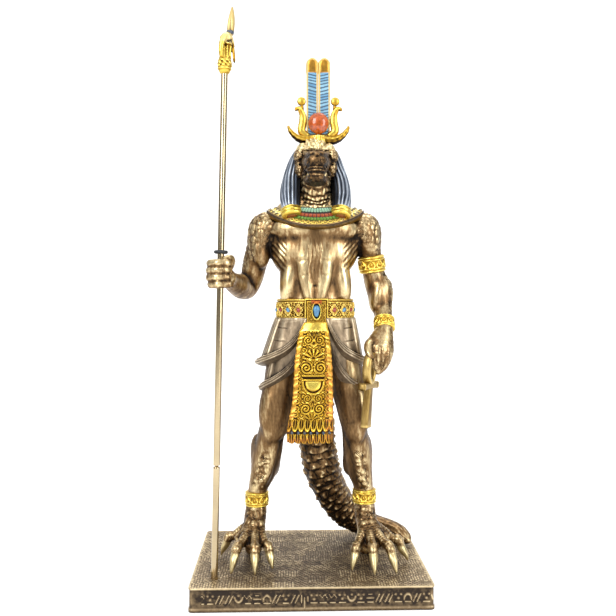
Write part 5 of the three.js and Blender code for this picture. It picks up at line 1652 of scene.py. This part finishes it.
def apron():
    size = sizes()
    columns, rows = 132, 300
    u, v = np.meshgrid(np.linspace(0, 1, columns), np.linspace(1, 0, rows))
    edge = smooth_path([(share, x) for x, share in APRON_LEFT], 200)
    left = np.interp(v, edge[:, 0], edge[:, 1])
    right = 7.7 + (5 - 7.7) * v**4
    half = (right - left) / 2
    down = (1 - v) * (APRON["top"] - APRON["foot"])
    x = (u - 0.5) * 2 * half
    scallop = 0.22 * np.abs(np.sin(np.pi * down / 2.9)) * (down > 4)
    stretch = 1 + scallop / half * step(0.7, 1, np.abs(2 * u - 1))
    foot = 0.9 * np.abs(np.sin(np.pi * (x + 1.5) / 3)) * step(0.96, 1, 1 - v)
    bow = 1.1 * np.sin(u * np.pi)
    y = -17 - (1 - v) * 7 + 2 * (1 - v) ** 2 - bow
    z = APRON["top"] - down - foot
    front = np.stack([(left + right) / 2 + x * stretch, y - APRON["thick"] / 2, z], axis=-1)
    work = apron_work(x, down, half)
    rise = size["scroll_rise"] * work * (1 - step(0.97, 1, np.abs(2 * u - 1)))
    relieved = front + grid_normals(front) * rise[..., None]
    back = front + np.array([0, APRON["thick"], 0])
    points, faces = slab(relieved, back)
    tint = np.clip(0.5 + 0.5 * np.sin(down * 1.7 + 3 * u), 0.3, 1)
    coat = np.maximum.reduce([step(0.8, 0.86, u) * step(0.1, 0.4, 1 - v) * 0.6 * tint,
                              step(54.2, 57, down) * 0.7 * tint,
                              (1 - step(0.08, 0.14, u)) * 0.4 * (down > 12) * tint])
    piece("apron", points, faces, "gold_leafing", coat=both_sides(coat, 0.0), paint=shade("peach"),
          height=0.12 + 0.95 * washed(work, 0, 1))
    for start, name, paint in ((0, "apron_gems_dark", "wig_mid"), (1, "apron_gems_blue", "lapis")):
        spots = np.array([(-12 + 3 * k, -24.2 - 0.9 * math.sin(k / 2), APRON["top"] - 52.9)
                          for k in range(start, 7, 2)])
        gems(name, spots, np.tile((0.0, -1.0, 0.0), (len(spots), 1)), (0.75, 0.9, 0.5), shade(paint) * 0.35)


# Crown

CROWN_X = 1.5
FEATHER = {"half": 3.15, "foot": 210.0, "top": 253.2, "thick": 2.6, "rim": 0.7}


def plume(side):
    """One tall feather: a gold rim and quill beside slanted blue barbs, and a swollen gold tip."""
    half, foot, top, thick = FEATHER["half"], FEATHER["foot"], FEATHER["top"], FEATHER["thick"]
    columns, rows = 56, 250
    u, v = np.meshgrid(np.linspace(-1, 1, columns), np.linspace(1, 0, rows))
    z = foot + v * (top - foot)
    dome = np.sqrt(np.clip(1 - ((z - (top - half)) / half).clip(0, 0.999) ** 2, 0, 1))
    domed = step(top - 7.8, top - 6.8, z)
    x = u * (half - 0.25 + 0.25 * domed) * dome
    from_tip = np.where(z > top - half, half - np.hypot(x, z - (top - half)), 9)
    rim = np.minimum(half - np.abs(u) * half, from_tip)
    edge = 1 - step(FEATHER["rim"] * 0.9, FEATHER["rim"] * 1.5, rim)
    number = (z - side * u * 0.7 + 0.25 * np.sin(z * 0.7)) / 1.6
    slope = np.mod(number, 1)
    barb = (1 - domed) * (1 - edge)
    stroke = bump(slope, 0.5, 0.46)
    fill = np.clip(rim / half * 2, 0, 1)
    inner = domed * (1 - edge)
    work = np.maximum(edge * 0.95, barb * stroke * 0.8) + inner * (0.1 + 0.6 * bump(fill, 0.75, 0.5))
    height = 0.55 * edge + 0.34 * barb * stroke + domed * 0.6 * fill
    y = thick / 2 * np.clip(1 - np.abs(u) ** 8, 0.15, 1)
    place = np.array([CROWN_X + side * (half - 0.1), -2, 0])
    front = np.stack([x, -y - height, z], axis=-1) + place
    back = np.stack([x, y + height, z], axis=-1) + place
    points, faces = slab(front, back)
    tone = hashed(np.stack([np.floor(number), number * 0 + side + 1, number * 0], axis=-1), 61)[..., :1]
    colours = shade("sky") * (0.85 - 0.6 * tone) + (0.15 + 0.6 * tone) * shade("frost")
    colours = np.where((stroke < 0.25)[..., None], shade("lapis"), colours)
    colours = np.where(domed[..., None] > 0.5, 0.5 * shade("peach") + 0.3 * shade("gold_mid"), colours)
    colours = np.where(edge[..., None] > 0.5, shade("cream"), colours)
    coat = np.clip(barb * 0.95 + 0.5 * edge + inner * (0.2 + 0.6 * bump(fill, 0.4, 0.5)), 0, 1)
    masks = (np.concatenate([seen, seen]) for seen in (coat.ravel(), colours.reshape(-1, 3), work.ravel()))
    return points, faces, *masks


HORN = [(0, -3.4, 212.4, 2.6, 3), (5.3, -3.8, 211.6, 2.4, 2.6), (8.6, -4.2, 211.8, 2.1, 2.3),
        (11.6, -4.7, 213.2, 1.6, 1.8), (14.2, -5, 215.9, 1.1, 1.2), (15.4, -5.2, 218.6, 0.45, 0.5)]


def cobra(s):
    """A rearing cobra with a spread hood, a hooked head and a small disc above it."""
    x = CROWN_X + s * 8.3
    body = swept([(CROWN_X + s * 4.5, -3.4, 213, 1.8, 1.4), (x, -3.6, 216, 2, 1.3),
                  (x - s * 0.5, -3.8, 220.6, 2, 1.1), (x - s * 0.2, -3.9, 224.6, 1.6, 1),
                  (x + s * 1.6, -4.4, 227.4, 1.2, 1.1), (x + s * 3.6, -5.6, 226, 0.9, 0.8)], 36, 60,
                 lambda a, g, t: 0.14 * np.sin(a * 4.2) * (np.sin(g) > 0), blunt=0.1)
    disc = swept([(x + s * 0.2, y, 231, 2.2, 2.2) for y in (-5.1, -2.7)], 32, 12, blunt=0.4)
    neck = swept([(x - s * 0.2, -3.9, 226.6, 0.9), (x, -3.9, 229.4, 0.7)], 16, 6, blunt=0.2)
    return [body, disc, neck]


def crown():
    points, faces, *masks = zip(plume(-1), plume(1))
    coat, paint, height = (np.concatenate(mask) for mask in masks)
    piece("plumes", *merge(*zip(points, faces)), "gold_leafing", coat=coat, paint=paint, height=height)
    horns, cobras = [], []
    for s in (-1, 1):
        horns.append(swept([(CROWN_X + s * x, *rest) for x, *rest in HORN], 48, 90,
                           lambda a, g, t: 0.08 * np.sin(g * 6) + 0.06 * np.sin(a * 2.5), across=(0, 0, 1)))
        cobras += cobra(s)
    # Faces that look down lose up to 0.8 on the horns and 0.6 on the cobras: painted shade beneath them.
    piece("horns", *merge(*horns), "gold_leafing", level=0.3, under=0.8)
    piece("cobras", *merge(*cobras), "gold_leafing", level=0.44, under=0.6)
    stem = swept([(CROWN_X, -2.4, z, r) for z, r in ((205.6, 5.6), (208, 5.4), (211, 4.8), (214, 4.4))],
                 80, 30, lambda a, g, t: 0.25 * np.abs(np.sin(g * 9)))
    piece("crown_stem", *stem, "gold_leafing")
    disc = swept([(CROWN_X, y, 219.6, 5.2, 5.4) for y in (-9.2, -2.6)], 64, 24, blunt=0.5)
    piece("sun_disc", *disc, "gem_glaze", coat=1, paint=shade("orange") * 0.8, raised=0.7)


# Ankh

ANKH_TURN = 60  # degrees; more of its edge than of its face shows, as the hand holds it


def ankh():
    """The ankh hangs below the fist: a flat-sided loop, a rounded crossbar and a stem that flares down."""
    stem = swept([(0, 0, z, wide, 1.9) for z, wide in ((4, 1.9), (-4, 2), (-12, 2.5), (-21, 3.2))], 48, 40,
                 blunt=0.01, shape=0.4)
    cross = swept([(x, 0, 0, wide, deep) for x, wide, deep in ((-8.6, 1.9, 2.2), (-5, 1.6, 2), (5, 1.6, 2),
                                                               (8.6, 1.9, 2.2))],
                  40, 40, across=(0, 0, 1), blunt=0.03, shape=0.55)
    angle = np.linspace(0, 2 * np.pi, 90, endpoint=False)
    loop = np.stack([3.4 * np.sin(angle), angle * 0, 8.4 - 6.8 * np.cos(angle)], axis=1)
    out = unit(np.stack([np.sin(angle) / 3.4, angle * 0, -np.cos(angle) / 6.8], axis=1))
    ring = [(1.2, -1.7), (1.2, 1.7), (0.8, 2), (-0.8, 2), (-1.1, 1.7), (-1.1, -1.7), (-0.8, -2), (0.8, -2)]
    grid = np.stack([loop + out * o + np.array([0, y, 0]) for o, y in ring], axis=1)
    points, faces = merge(stem, cross, looped(grid))
    points = turned(points, (3.8, 0.7, ANKH_TURN), (25.4, -18.6, 89))
    piece("ankh", points, faces, "pale_brass", level=0.42)


def pale_brass():
    """Pale dry-brushed brass paint, warmer in the corners than on the faces."""
    return rubbed_metal("brass_pale_brushed", shade("gold_deep"), linear("#7d6232"), linear("#d3b670"),
                        metallic=0.9, rough=(0.5, 0.32), streak=4.0)


# Staff

def lathe(profile, columns=64):
    """A turned solid from [radius, height] pairs that start and end near the axis."""
    profile = np.array(profile, float)
    angle = np.linspace(0, 2 * np.pi, columns, endpoint=False)
    radius, height = profile[1:-1, :1], profile[1:-1, 1:]
    grid = np.stack([radius * np.cos(angle), radius * np.sin(angle), height + 0 * angle], axis=-1)
    return capped(grid, (0, 0, profile[0, 1]), (0, 0, profile[-1, 1]))


STAFF_LEAN = 1.21  # degrees


def to_parts(metres):
    """A place in the frame, in metres, as the figure's carved parts."""
    return (np.asarray(metres, float) - FIGURE_FOOT) / PART


def on_staff(points):
    """Points round the staff's own axis, at heights above the fist, leant and set in the hand."""
    return turned(points, (0, STAFF_LEAN, 0), STAFF_GRIP)


def above_grip(z_metres):
    return (to_parts((0, 0, z_metres))[2] - STAFF_GRIP[2]) / math.cos(math.radians(STAFF_LEAN))


def turned_brass():
    """Drawn brass rod: bright, with fine lines along it and a little tarnish."""
    made, tree, shader = new_material("brass_drawn_rod")
    spot = node(tree, "ShaderNodeTexCoord").outputs["Object"]
    drawn = node(tree, "ShaderNodeMapping", [("Vector", spot), ("Scale", (1, 1, 0.02))])
    lines = node(tree, "ShaderNodeTexNoise", [("Vector", drawn.outputs[0]), ("Scale", 1 / 0.0005),
                                              ("Detail", 2.0)])
    stain = node(tree, "ShaderNodeTexNoise", [("Vector", spot), ("Scale", 1 / 0.012), ("Detail", 4.0)])
    mixed = node(tree, "ShaderNodeMix", [("Factor", stain.outputs["Fac"]), (6, (*(shade("brass") * 0.62), 1)),
                                         (7, (*shade("brass"), 1))], data_type="RGBA")
    rough = node(tree, "ShaderNodeMapRange", [("Value", lines.outputs["Fac"]), ("To Min", 0.1),
                                              ("To Max", 0.2)])
    relief = node(tree, "ShaderNodeBump", [("Strength", 0.25), ("Distance", 0.00005),
                                           ("Height", lines.outputs["Fac"])])
    tree.links.new(mixed.outputs[2], shader.inputs["Base Color"])
    tree.links.new(rough.outputs[0], shader.inputs["Roughness"])
    tree.links.new(relief.outputs[0], shader.inputs["Normal"])
    shader.inputs["Metallic"].default_value = 1.0
    return made


def black_rubber():
    """Black rubber, matt, with a faint bloom."""
    made, tree, shader = new_material("rubber_black_ring")
    spot = node(tree, "ShaderNodeTexCoord").outputs["Object"]
    bloom = node(tree, "ShaderNodeTexNoise", [("Vector", spot), ("Scale", 1 / 0.0015)])
    tone = node(tree, "ShaderNodeMix", [("Factor", bloom.outputs["Fac"]), (6, (*shade("rubber"), 1)),
                                        (7, (*(shade("rubber") * 2.2), 1))], data_type="RGBA")
    tree.links.new(tone.outputs[2], shader.inputs["Base Color"])
    shader.inputs["Roughness"].default_value = 0.6
    return made


ROUNDED = 0.06  # bevel on the shafts' ends
SPIGOT = 0.8  # half-width of the joint inside the shafts, and the length of it that shows as the seam


def staff():
    radius = sizes()["shaft_diameter"] / 2
    for name in ("shaft_lower", "shaft_upper"):
        low, high = (v[2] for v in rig.box(name))
        foot, top = above_grip(low), above_grip(high)
        profile = [(0, foot), (radius - ROUNDED, foot), (radius, foot + ROUNDED)]
        profile += [(radius, foot + 0.1 + (top - foot - 0.2) * t) for t in np.linspace(0, 1, 40)]
        profile += [(radius, top - ROUNDED), (radius - ROUNDED, top), (0, top)]
        if name == "shaft_lower":
            seam = above_grip(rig.box("shaft_upper")[0][2]) - SPIGOT
            profile = [p for p in profile if p[1] < seam - 0.1]
            profile += [(radius, seam - ROUNDED), (radius - ROUNDED, seam), (SPIGOT, seam + 0.02),
                        (SPIGOT, top), (0, top)]
        points, faces = lathe(profile, 48)
        piece(name + "_rod", on_staff(points), faces, "turned_brass", node=name, raised=0.5)
    low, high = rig.box("grip_ring")
    z = above_grip((low[2] + high[2]) / 2)
    angle = np.linspace(0, 2 * np.pi, 20, endpoint=False)
    profile = [(radius + 0.95 + 0.8 * math.cos(a), z + 0.8 * math.sin(a)) for a in angle]
    turns = np.linspace(0, 2 * np.pi, 60, endpoint=False)
    points, faces = looped(np.array([[(r * math.cos(t), r * math.sin(t), h) for r, h in profile]
                                     for t in turns]))
    piece("rubber_ring", on_staff(points), faces, "black_rubber", node="grip_ring", raised=0.5)


def staff_head():
    """The animal that caps the staff: a ringed collar and neck, a drooping muzzle, a mane and tall ears."""
    clay = Clay(0.26)
    foot = above_grip(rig.box("staff_head")[0][2]) - 1.7
    base = np.array([0, 0, foot])

    def limb(rows, **how):
        return Limb([(*(np.array(r[:3]) + base), *r[3:]) for r in rows], pace=1, **how)

    clay.add(limb([(0, 0, 0.6, 2.9), (0, 0, 2.4, 3.2), (0, 0, 4.4, 3), (0.6, 0.6, 8, 2.2),
                   (1, 1, 12, 2.3)]), 0.3)
    for z, wide in ((0.6, 3.4), (4.3, 3.3), (12.1, 2.9)):
        clay.add(Ball((0.4 * (z > 9), 0, foot + z), (wide, wide, 0.7)), 0.3)
    clay.add(limb([(1.6, 3, 15.6, 1.4, 1.8), (1.2, 0.6, 15.8, 2, 2.2), (0.4, -2, 14.8, 2, 2),
                   (-0.5, -3.8, 12, 1.4, 1.4), (-0.9, -4.2, 8.6, 1.15, 1), (-0.9, -4, 6.4, 1, 0.9),
                   (-0.9, -3.8, 5.2, 0.7, 0.5)]), 0.6)
    clay.add(limb([(2.4, 2, 15.4, 1, 1.2), (3.5, 1.6, 11, 0.9, 1), (4.2, 1.2, 6, 0.7, 0.8),
                   (4.4, 0.8, 4.2, 0.5, 0.5)]), 0.4)
    clay.add(Ball((1.9, 1.6, foot + 18.2), (1.8, 2, 1.5)), 0.3)
    for s in (-1, 1):
        clay.add(limb([(2 + s * 0.5, 1.8, 18, 1.2, 1.5), (2.3 + s * 0.6, 2, 22.5, 1.15, 1.7),
                       (2.5 + s * 0.4, 2.2, 26.5, 0.9, 1.3), (2.6 + s * 0.15, 2.4, 30.2, 0.35, 0.5)]), 0.3)
        clay.add(Ball((0.6 + s * 1.7, -2.4, foot + 14.4), (1, 1, 1.1)), 0.25)
        clay.cut(Ball((0.6 + s * 1.8, -3.5, foot + 14.4), (0.45, 0.5, 0.5)), 0.2)
    clay.cut(limb([(2.4, 0.2, 19, 0.3), (2.6, 0, 25, 0.35), (2.7, 0.6, 29, 0.2)]), 0.3)
    points, faces = clay.skin(base + np.array([-6, -9, -1]), base + np.array([7, 7, 32]))
    x, y, z = (points - base).T
    turn = np.arctan2(y, x)
    neck = (z > 5.4) & (z < 11.4) & (y > -3.4)
    collar_zone = (z > 1) & (z < 4)
    ridges = 0.4 * np.cos(7 * turn + z) * np.sin(z * 2.4)
    rise = np.where(neck, 0.25 * np.cos(8 * turn), 0) + np.where(collar_zone, ridges, 0)
    points = turned(points + normals_of(points, faces) * rise[:, None], (0, 0, STAFF_HEAD_TURN), (0, 0, 0))
    band = step(16.9, 17.3, z) * (1 - step(18.8, 19.2, z))
    # The face, below the grey band, takes cream paint: a painted highlight.
    face = step(11.8, 12.4, z) * (1 - step(16.6, 17, z)) * (x < 3.4)
    ears = step(18.8, 19.6, z)
    coat = np.maximum.reduce([band, face * 0.55, ears * 0.6])
    paint = np.where((band > 0.5)[:, None], shade("wig_mid"), shade("cream") * (1 - 0.35 * ears)[:, None])
    # The mane and the neck's right-hand side, below the face, are darkened by 0.4 as painted shade.
    raised = standing(points, faces, level=0.5) - 0.2 * (z > 19) - 0.4 * (x > 3.3) * (z < 13)
    piece("staff_animal", on_staff(points), faces, "gold_leafing", node="staff_head", coat=coat, paint=paint,
          raised=np.clip(raised, 0, 1))


STAFF_HEAD_TURN = -8  # degrees; the muzzle points a little to the viewer's left


# Plinth

def plinth_box(pitch):
    """A box with even grids on its top and sides: points, faces, low and high corners, grid places."""
    low, high = to_parts(PLINTH_LOW), to_parts(PLINTH_HIGH)
    counts = np.round((high - low) / np.array([pitch, pitch, pitch * 0.85])).astype(int)
    shell = np.ones(counts + 1, bool)
    shell[1:-1, 1:-1, :-1] = False
    numbers = -np.ones(counts + 1, int)
    spots = np.argwhere(shell)
    numbers[shell] = np.arange(len(spots))
    points = np.vstack([low + spots / counts * (high - low), (*((low + high)[:2] / 2), low[2])])
    sheets = [numbers[:, :, -1], numbers[0].T, numbers[-1], numbers[:, 0], numbers[:, -1].T]
    faces = [np.stack([f[:-1, :-1], f[1:, :-1], f[1:, 1:], f[:-1, 1:]], axis=-1).reshape(-1, 4)
             for f in sheets]
    rim = np.concatenate([numbers[:-1, 0, 0], numbers[-1, :-1, 0], numbers[:0:-1, -1, 0],
                          numbers[0, :0:-1, 0]])
    return points, np.vstack([*faces, fan(rim, len(spots), True)]), low, high, np.vstack([spots, (0, 0, 0)])


def stroke_signs(run, up, length_mm):
    """A row of ticks, dashes, waves, arches, dots, slants and bowls, in an order that says nothing."""
    pitch = 4.3
    spot = run / pitch
    kind = numbered(np.floor(spot), 77)[..., 0]
    x = (np.mod(spot, 1) - 0.5) * pitch
    ax = np.abs(x)
    dash = bump(up, -1.9, 0.45) * (ax < 1.6)
    ticks = bump(x, -1.4, 0.45) * (np.abs(up) < 2) + bump(x, 0, 0.45) * (up < 0.8)
    ticks = ticks + bump(x, 1.4, 0.5) * (np.abs(up) < 1.3)
    dashes = bump(up, 1.7, 0.45) * (ax < 1.2) + bump(up, 0, 0.45) * (ax < 1.8) + dash
    wave = bump(up, 1 + 0.7 * np.sin(x * 2.6), 0.5) * (ax < 1.8) + dash
    arch = bump(np.hypot(x / 1.7, (up + 1.2) / 2.8), 1, 0.3) * (up > -1.2) + dash
    dots = bump(np.hypot(ax - 1.2, up - 1.5), 0, 0.75) + bump(np.hypot(x, up + 0.3), 0, 0.9) + dash
    slants = bump((np.abs(x - 0.5 * up) - 0.9) * 0.9, 0, 0.42) * (np.abs(up) < 1.9)
    bowl = bump(np.hypot(x / 1.8, (up - 1.5) / 2.8), 1, 0.3) * (up < 1) + bump(np.hypot(x, up - 1.6), 0, 0.8)
    kinds = [kind < limit for limit in (0.12, 0.27, 0.42, 0.57, 0.72, 0.86)]
    signs = np.select(kinds, [ticks, dashes, wave, arch, dots, slants], bowl)
    return np.minimum(signs, 1) * (np.abs(run) < length_mm / 2 - 3)


def plinth():
    """Top woven in patches, a thin lip, and a shallow panel of stroke signs on each side."""
    points, faces, low, high, spots = plinth_box(sizes()["weave_grid"])
    corner = 2.2
    middle = (low + high)[:2] / 2
    reach = (high - low)[:2] / 2
    flat = points[:, :2] - middle
    beyond = np.maximum(np.abs(flat) - reach + corner, 0)
    pull = beyond.max(axis=1) / np.maximum(np.linalg.norm(beyond, axis=1), 1e-9)
    pull = np.where((beyond > 0).all(axis=1), pull, 1)[:, None]
    points[:, :2] = middle + np.sign(flat) * (np.minimum(np.abs(flat), reach - corner) + beyond * pull)
    normals = normals_of(points, faces)
    x, y, z = points.T
    top = z > high[2] - 0.01
    side = (np.abs(normals[:, 2]) < 0.5) & ~top & (z > low[2] + 0.01)
    up, height = z - low[2], high[2] - low[2]
    panel = step(1.5, 1.9, up) * (1 - step(height - 1.1, height - 0.8, up)) * side
    front = np.abs(normals[:, 1]) > np.abs(normals[:, 0])
    run = np.where(front, x * np.sign(-normals[:, 1]), y * np.sign(normals[:, 0]))
    signs = stroke_signs(run, up - (height + 0.5) / 2, np.where(front, high[0] - low[0], high[1] - low[1]))
    ledge = (1 - step(1.1, 1.5, up)) * side
    edge = np.minimum(*(reach[:, None] - np.abs(points[:, :2] - middle).T))
    hole = np.hypot(x - to_parts((-0.0451, 0, 0))[0], y - STAFF_GRIP[1])
    woven = weave(spots[:, 0], spots[:, 1])
    flat_top = top * step(0.4, 0.9, edge) * step(1.9, 2.4, hole)
    rough = clouds(points, 1.3, 72)
    rise = panel * (0.36 * signs - 0.4 + 0.05 * rough) + flat_top * 0.3 * (woven - 1)
    points = points + normals * np.minimum(rise, 0.05)[:, None]
    points[top & (hole < 1.95), 2] -= 2.2
    raised = standing(points, faces, level=0.42) - 0.22 * panel + 0.36 * panel * signs - 0.4 * ledge
    raised = raised + flat_top * (0.6 * woven - 0.24 + 0.12 * (1 - step(3, 12, edge))) + 0.06 * rough
    piece("plinth_block", points, faces, "plinth_bronze", node="plinth", raised=np.clip(raised, 0, 1))


def weave(i, j):
    """Dashes in patches over the top's grid places, each patch with its own way and start."""
    patch = np.stack([(i + 9 * (j // 17)) // 23, j // 17, 0 * i], axis=-1)
    kind = hashed(patch, 73)
    turn = kind[:, 0] < 0.4
    along = np.where(turn, j, i) + (kind[:, 1] * 7).astype(int)
    over = np.where(turn, i, j) + (kind[:, 2] * 3).astype(int)
    row = over // 3
    dash = np.stack([(along + 2 * row) // 5, row, turn], axis=-1)
    level = 0.55 + 0.45 * hashed(dash, 74)[:, 0]
    joint = (np.mod(along + 2 * row, 5) == 0) | (np.mod(over, 3) == 0)
    return np.where(joint, 0.15, level) * (0.6 + 0.4 * kind[:, 1])


# Floor, light and camera

CAMERA_PLACE = (-0.01256, -0.37445, 0.14175)
CAMERA_TURN = 1.83  # degrees from +Y towards +X
CAMERA_DIP = 0.57  # degrees below level
CAMERA_LENS = 42.8
WALL_LIGHT = 0.26  # the room's walls, which give the metal its darker sides
CEILING_LIGHT = 1.15


def floor():
    """A pale sheet that runs up behind the statuette in one curve."""
    reach, rise, bend = 2.2, 2.4, 0.7
    profile = [(-reach, 0.0)]
    profile += [(0.9 + bend * math.sin(a), bend - bend * math.cos(a))
                for a in np.linspace(0, math.pi / 2, 16)]
    profile.append((0.9 + bend, rise))
    verts = [(x, y, z) for y, z in profile for x in (-3.0, 3.0)]
    faces = [(2 * i, 2 * i + 1, 2 * i + 3, 2 * i + 2) for i in range(len(profile) - 1)]
    mesh = bpy.data.meshes.new("backdrop")
    mesh.from_pydata(verts, [], faces)
    mesh.shade_smooth()
    made = bpy.data.objects.new("backdrop", mesh)
    bpy.context.scene.collection.objects.link(made)
    paper, _, shader = new_material("white_studio_paper")
    shader.inputs["Base Color"].default_value = (*linear("#fcfcfc"), 1)
    shader.inputs["Roughness"].default_value = 0.9
    mesh.materials.append(paper)
    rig.stage(made)


def lamp(name, place, target, wide, high, power, tint=(1, 1, 1)):
    """A soft rectangular lamp that faces the target."""
    light = bpy.data.lights.new(name, "AREA")
    light.shape, light.size, light.size_y, light.energy, light.color = "RECTANGLE", wide, high, power, tint
    made = bpy.data.objects.new(name, light)
    made.location = place
    made.rotation_euler = (Vector(target) - Vector(place)).to_track_quat("-Z", "Y").to_euler()
    bpy.context.scene.collection.objects.link(made)


def stage():
    """The floor, four soft lamps, the pale surroundings and the camera at the photograph's angle."""
    floor()
    middle = (0, 0, 0.15)
    lamp("key", (-0.5, -0.8, 0.6), middle, 0.45, 0.6, 7.6)
    lamp("fill", (0.65, -0.7, 0.4), middle, 0.4, 0.7, 5.2)
    lamp("crown", (0.1, 0.25, 1.1), middle, 0.7, 0.5, 4.0)
    lamp("backdrop", (0, 0.7, 1.3), (0, 1.7, 0.9), 1.6, 0.5, 9.0)
    scene = bpy.context.scene
    scene.world = bpy.data.worlds.new("pale_room")
    scene.world.use_nodes = True
    tree = scene.world.node_tree
    way = node(tree, "ShaderNodeSeparateXYZ", [(0, node(tree, "ShaderNodeTexCoord").outputs["Generated"])])
    sky = node(tree, "ShaderNodeMapRange", [("Value", way.outputs[2]), ("From Min", 0.0), ("From Max", 0.8),
                                            ("To Min", WALL_LIGHT), ("To Max", CEILING_LIGHT)],
               interpolation_type="SMOOTHSTEP")
    tree.links.new(sky.outputs[0], tree.nodes["Background"].inputs["Strength"])
    tree.nodes["Background"].inputs["Color"].default_value = (1, 1, 1, 1)
    scene.view_settings.view_transform = "Standard"
    camera = bpy.data.cameras.new("camera")
    camera.lens, camera.sensor_width, camera.clip_start = CAMERA_LENS, 36.0, 0.01
    made = bpy.data.objects.new("camera", camera)
    made.location = CAMERA_PLACE
    made.rotation_euler = (math.radians(90 - CAMERA_DIP), 0, math.radians(-CAMERA_TURN))
    scene.collection.objects.link(made)
    scene.camera = made


# Operators, panel and registration

def operator(name, label, build, about):
    """An operator class that builds one piece or group of pieces."""

    def execute(self, context):
        build()
        return {"FINISHED"}

    return type(name, (bpy.types.Operator,), {"__doc__": about, "bl_idname": "statuette." + build.__name__,
                                              "bl_label": label, "bl_options": {"REGISTER", "UNDO"},
                                              "execute": execute})


OPERATORS = (
    operator("STATUETTE_OT_stage", "Studio", stage, "Sets the floor, the soft lamps and the camera"),
    operator("STATUETTE_OT_body", "Torso and arms", torso_and_arms, "Models the trunk, arms and fists"),
    operator("STATUETTE_OT_legs", "Legs and feet", legs_and_feet, "Models the legs, scaled feet and claws"),
    operator("STATUETTE_OT_tail", "Tail", tail, "Sweeps the tail with its rows of plates"),
    operator("STATUETTE_OT_head", "Head", head_and_throat, "Models the crocodile's head and throat"),
    operator("STATUETTE_OT_bands", "Anklets, armlet and cuff", bands, "Makes the gold bands on the limbs"),
    operator("STATUETTE_OT_wig", "Wig", wig, "Sweeps the wig's strands and its gold rolls"),
    operator("STATUETTE_OT_collar", "Collar", collar, "Drapes the broad collar with its painted rows"),
    operator("STATUETTE_OT_kilt", "Kilt", kilt, "Wraps the kilt's two layers"),
    operator("STATUETTE_OT_belt", "Belt", belt, "Makes the belt, its gems and the buckle"),
    operator("STATUETTE_OT_apron", "Apron", apron, "Carves the gold apron's relief"),
    operator("STATUETTE_OT_crown", "Crown", crown, "Makes the feathers, horns, cobras and disc"),
    operator("STATUETTE_OT_ankh", "Ankh", ankh, "Makes the ankh that hangs from the fist"),
    operator("STATUETTE_OT_staff", "Staff", staff, "Turns the two shafts and the rubber ring"),
    operator("STATUETTE_OT_staff_head", "Staff head", staff_head, "Models the animal that caps the staff"),
    operator("STATUETTE_OT_plinth", "Plinth", plinth, "Cuts the plinth's weave and its rows of strokes"),
)


class STATUETTE_PT_pieces(bpy.types.Panel):
    """Lists the pieces of the statuette in the order in which they are built"""
    bl_label = "Statuette"
    bl_idname = "STATUETTE_PT_pieces"
    bl_space_type = "VIEW_3D"
    bl_region_type = "UI"
    bl_category = "Statuette"

    def draw(self, context):
        for made in OPERATORS:
            self.layout.operator(made.bl_idname)
        for group in (context.scene.statuette_sizes, context.scene.statuette_colours):
            box = self.layout.box()
            for name in group.__annotations__:
                box.prop(group, name)


CLASSES = (StatuetteSizes, StatuetteColours, *OPERATORS, STATUETTE_PT_pieces)


def register():
    for made in CLASSES:
        bpy.utils.register_class(made)
    bpy.types.Scene.statuette_sizes = bpy.props.PointerProperty(type=StatuetteSizes)
    bpy.types.Scene.statuette_colours = bpy.props.PointerProperty(type=StatuetteColours)


def unregister():
    del bpy.types.Scene.statuette_colours
    del bpy.types.Scene.statuette_sizes
    for made in reversed(CLASSES):
        bpy.utils.unregister_class(made)


def main():
    register()
    for made in OPERATORS:
        getattr(bpy.ops.statuette, made.bl_idname.split(".")[1])()
    low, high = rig.bounds()
    boxes = {"cad_box": [list(CAD_LOW), list(CAD_HIGH)], "visual_box": [list(low), list(high)]}
    with open("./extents.json", "w") as out:
        json.dump(boxes, out)


if __name__ == "__main__":
    main()
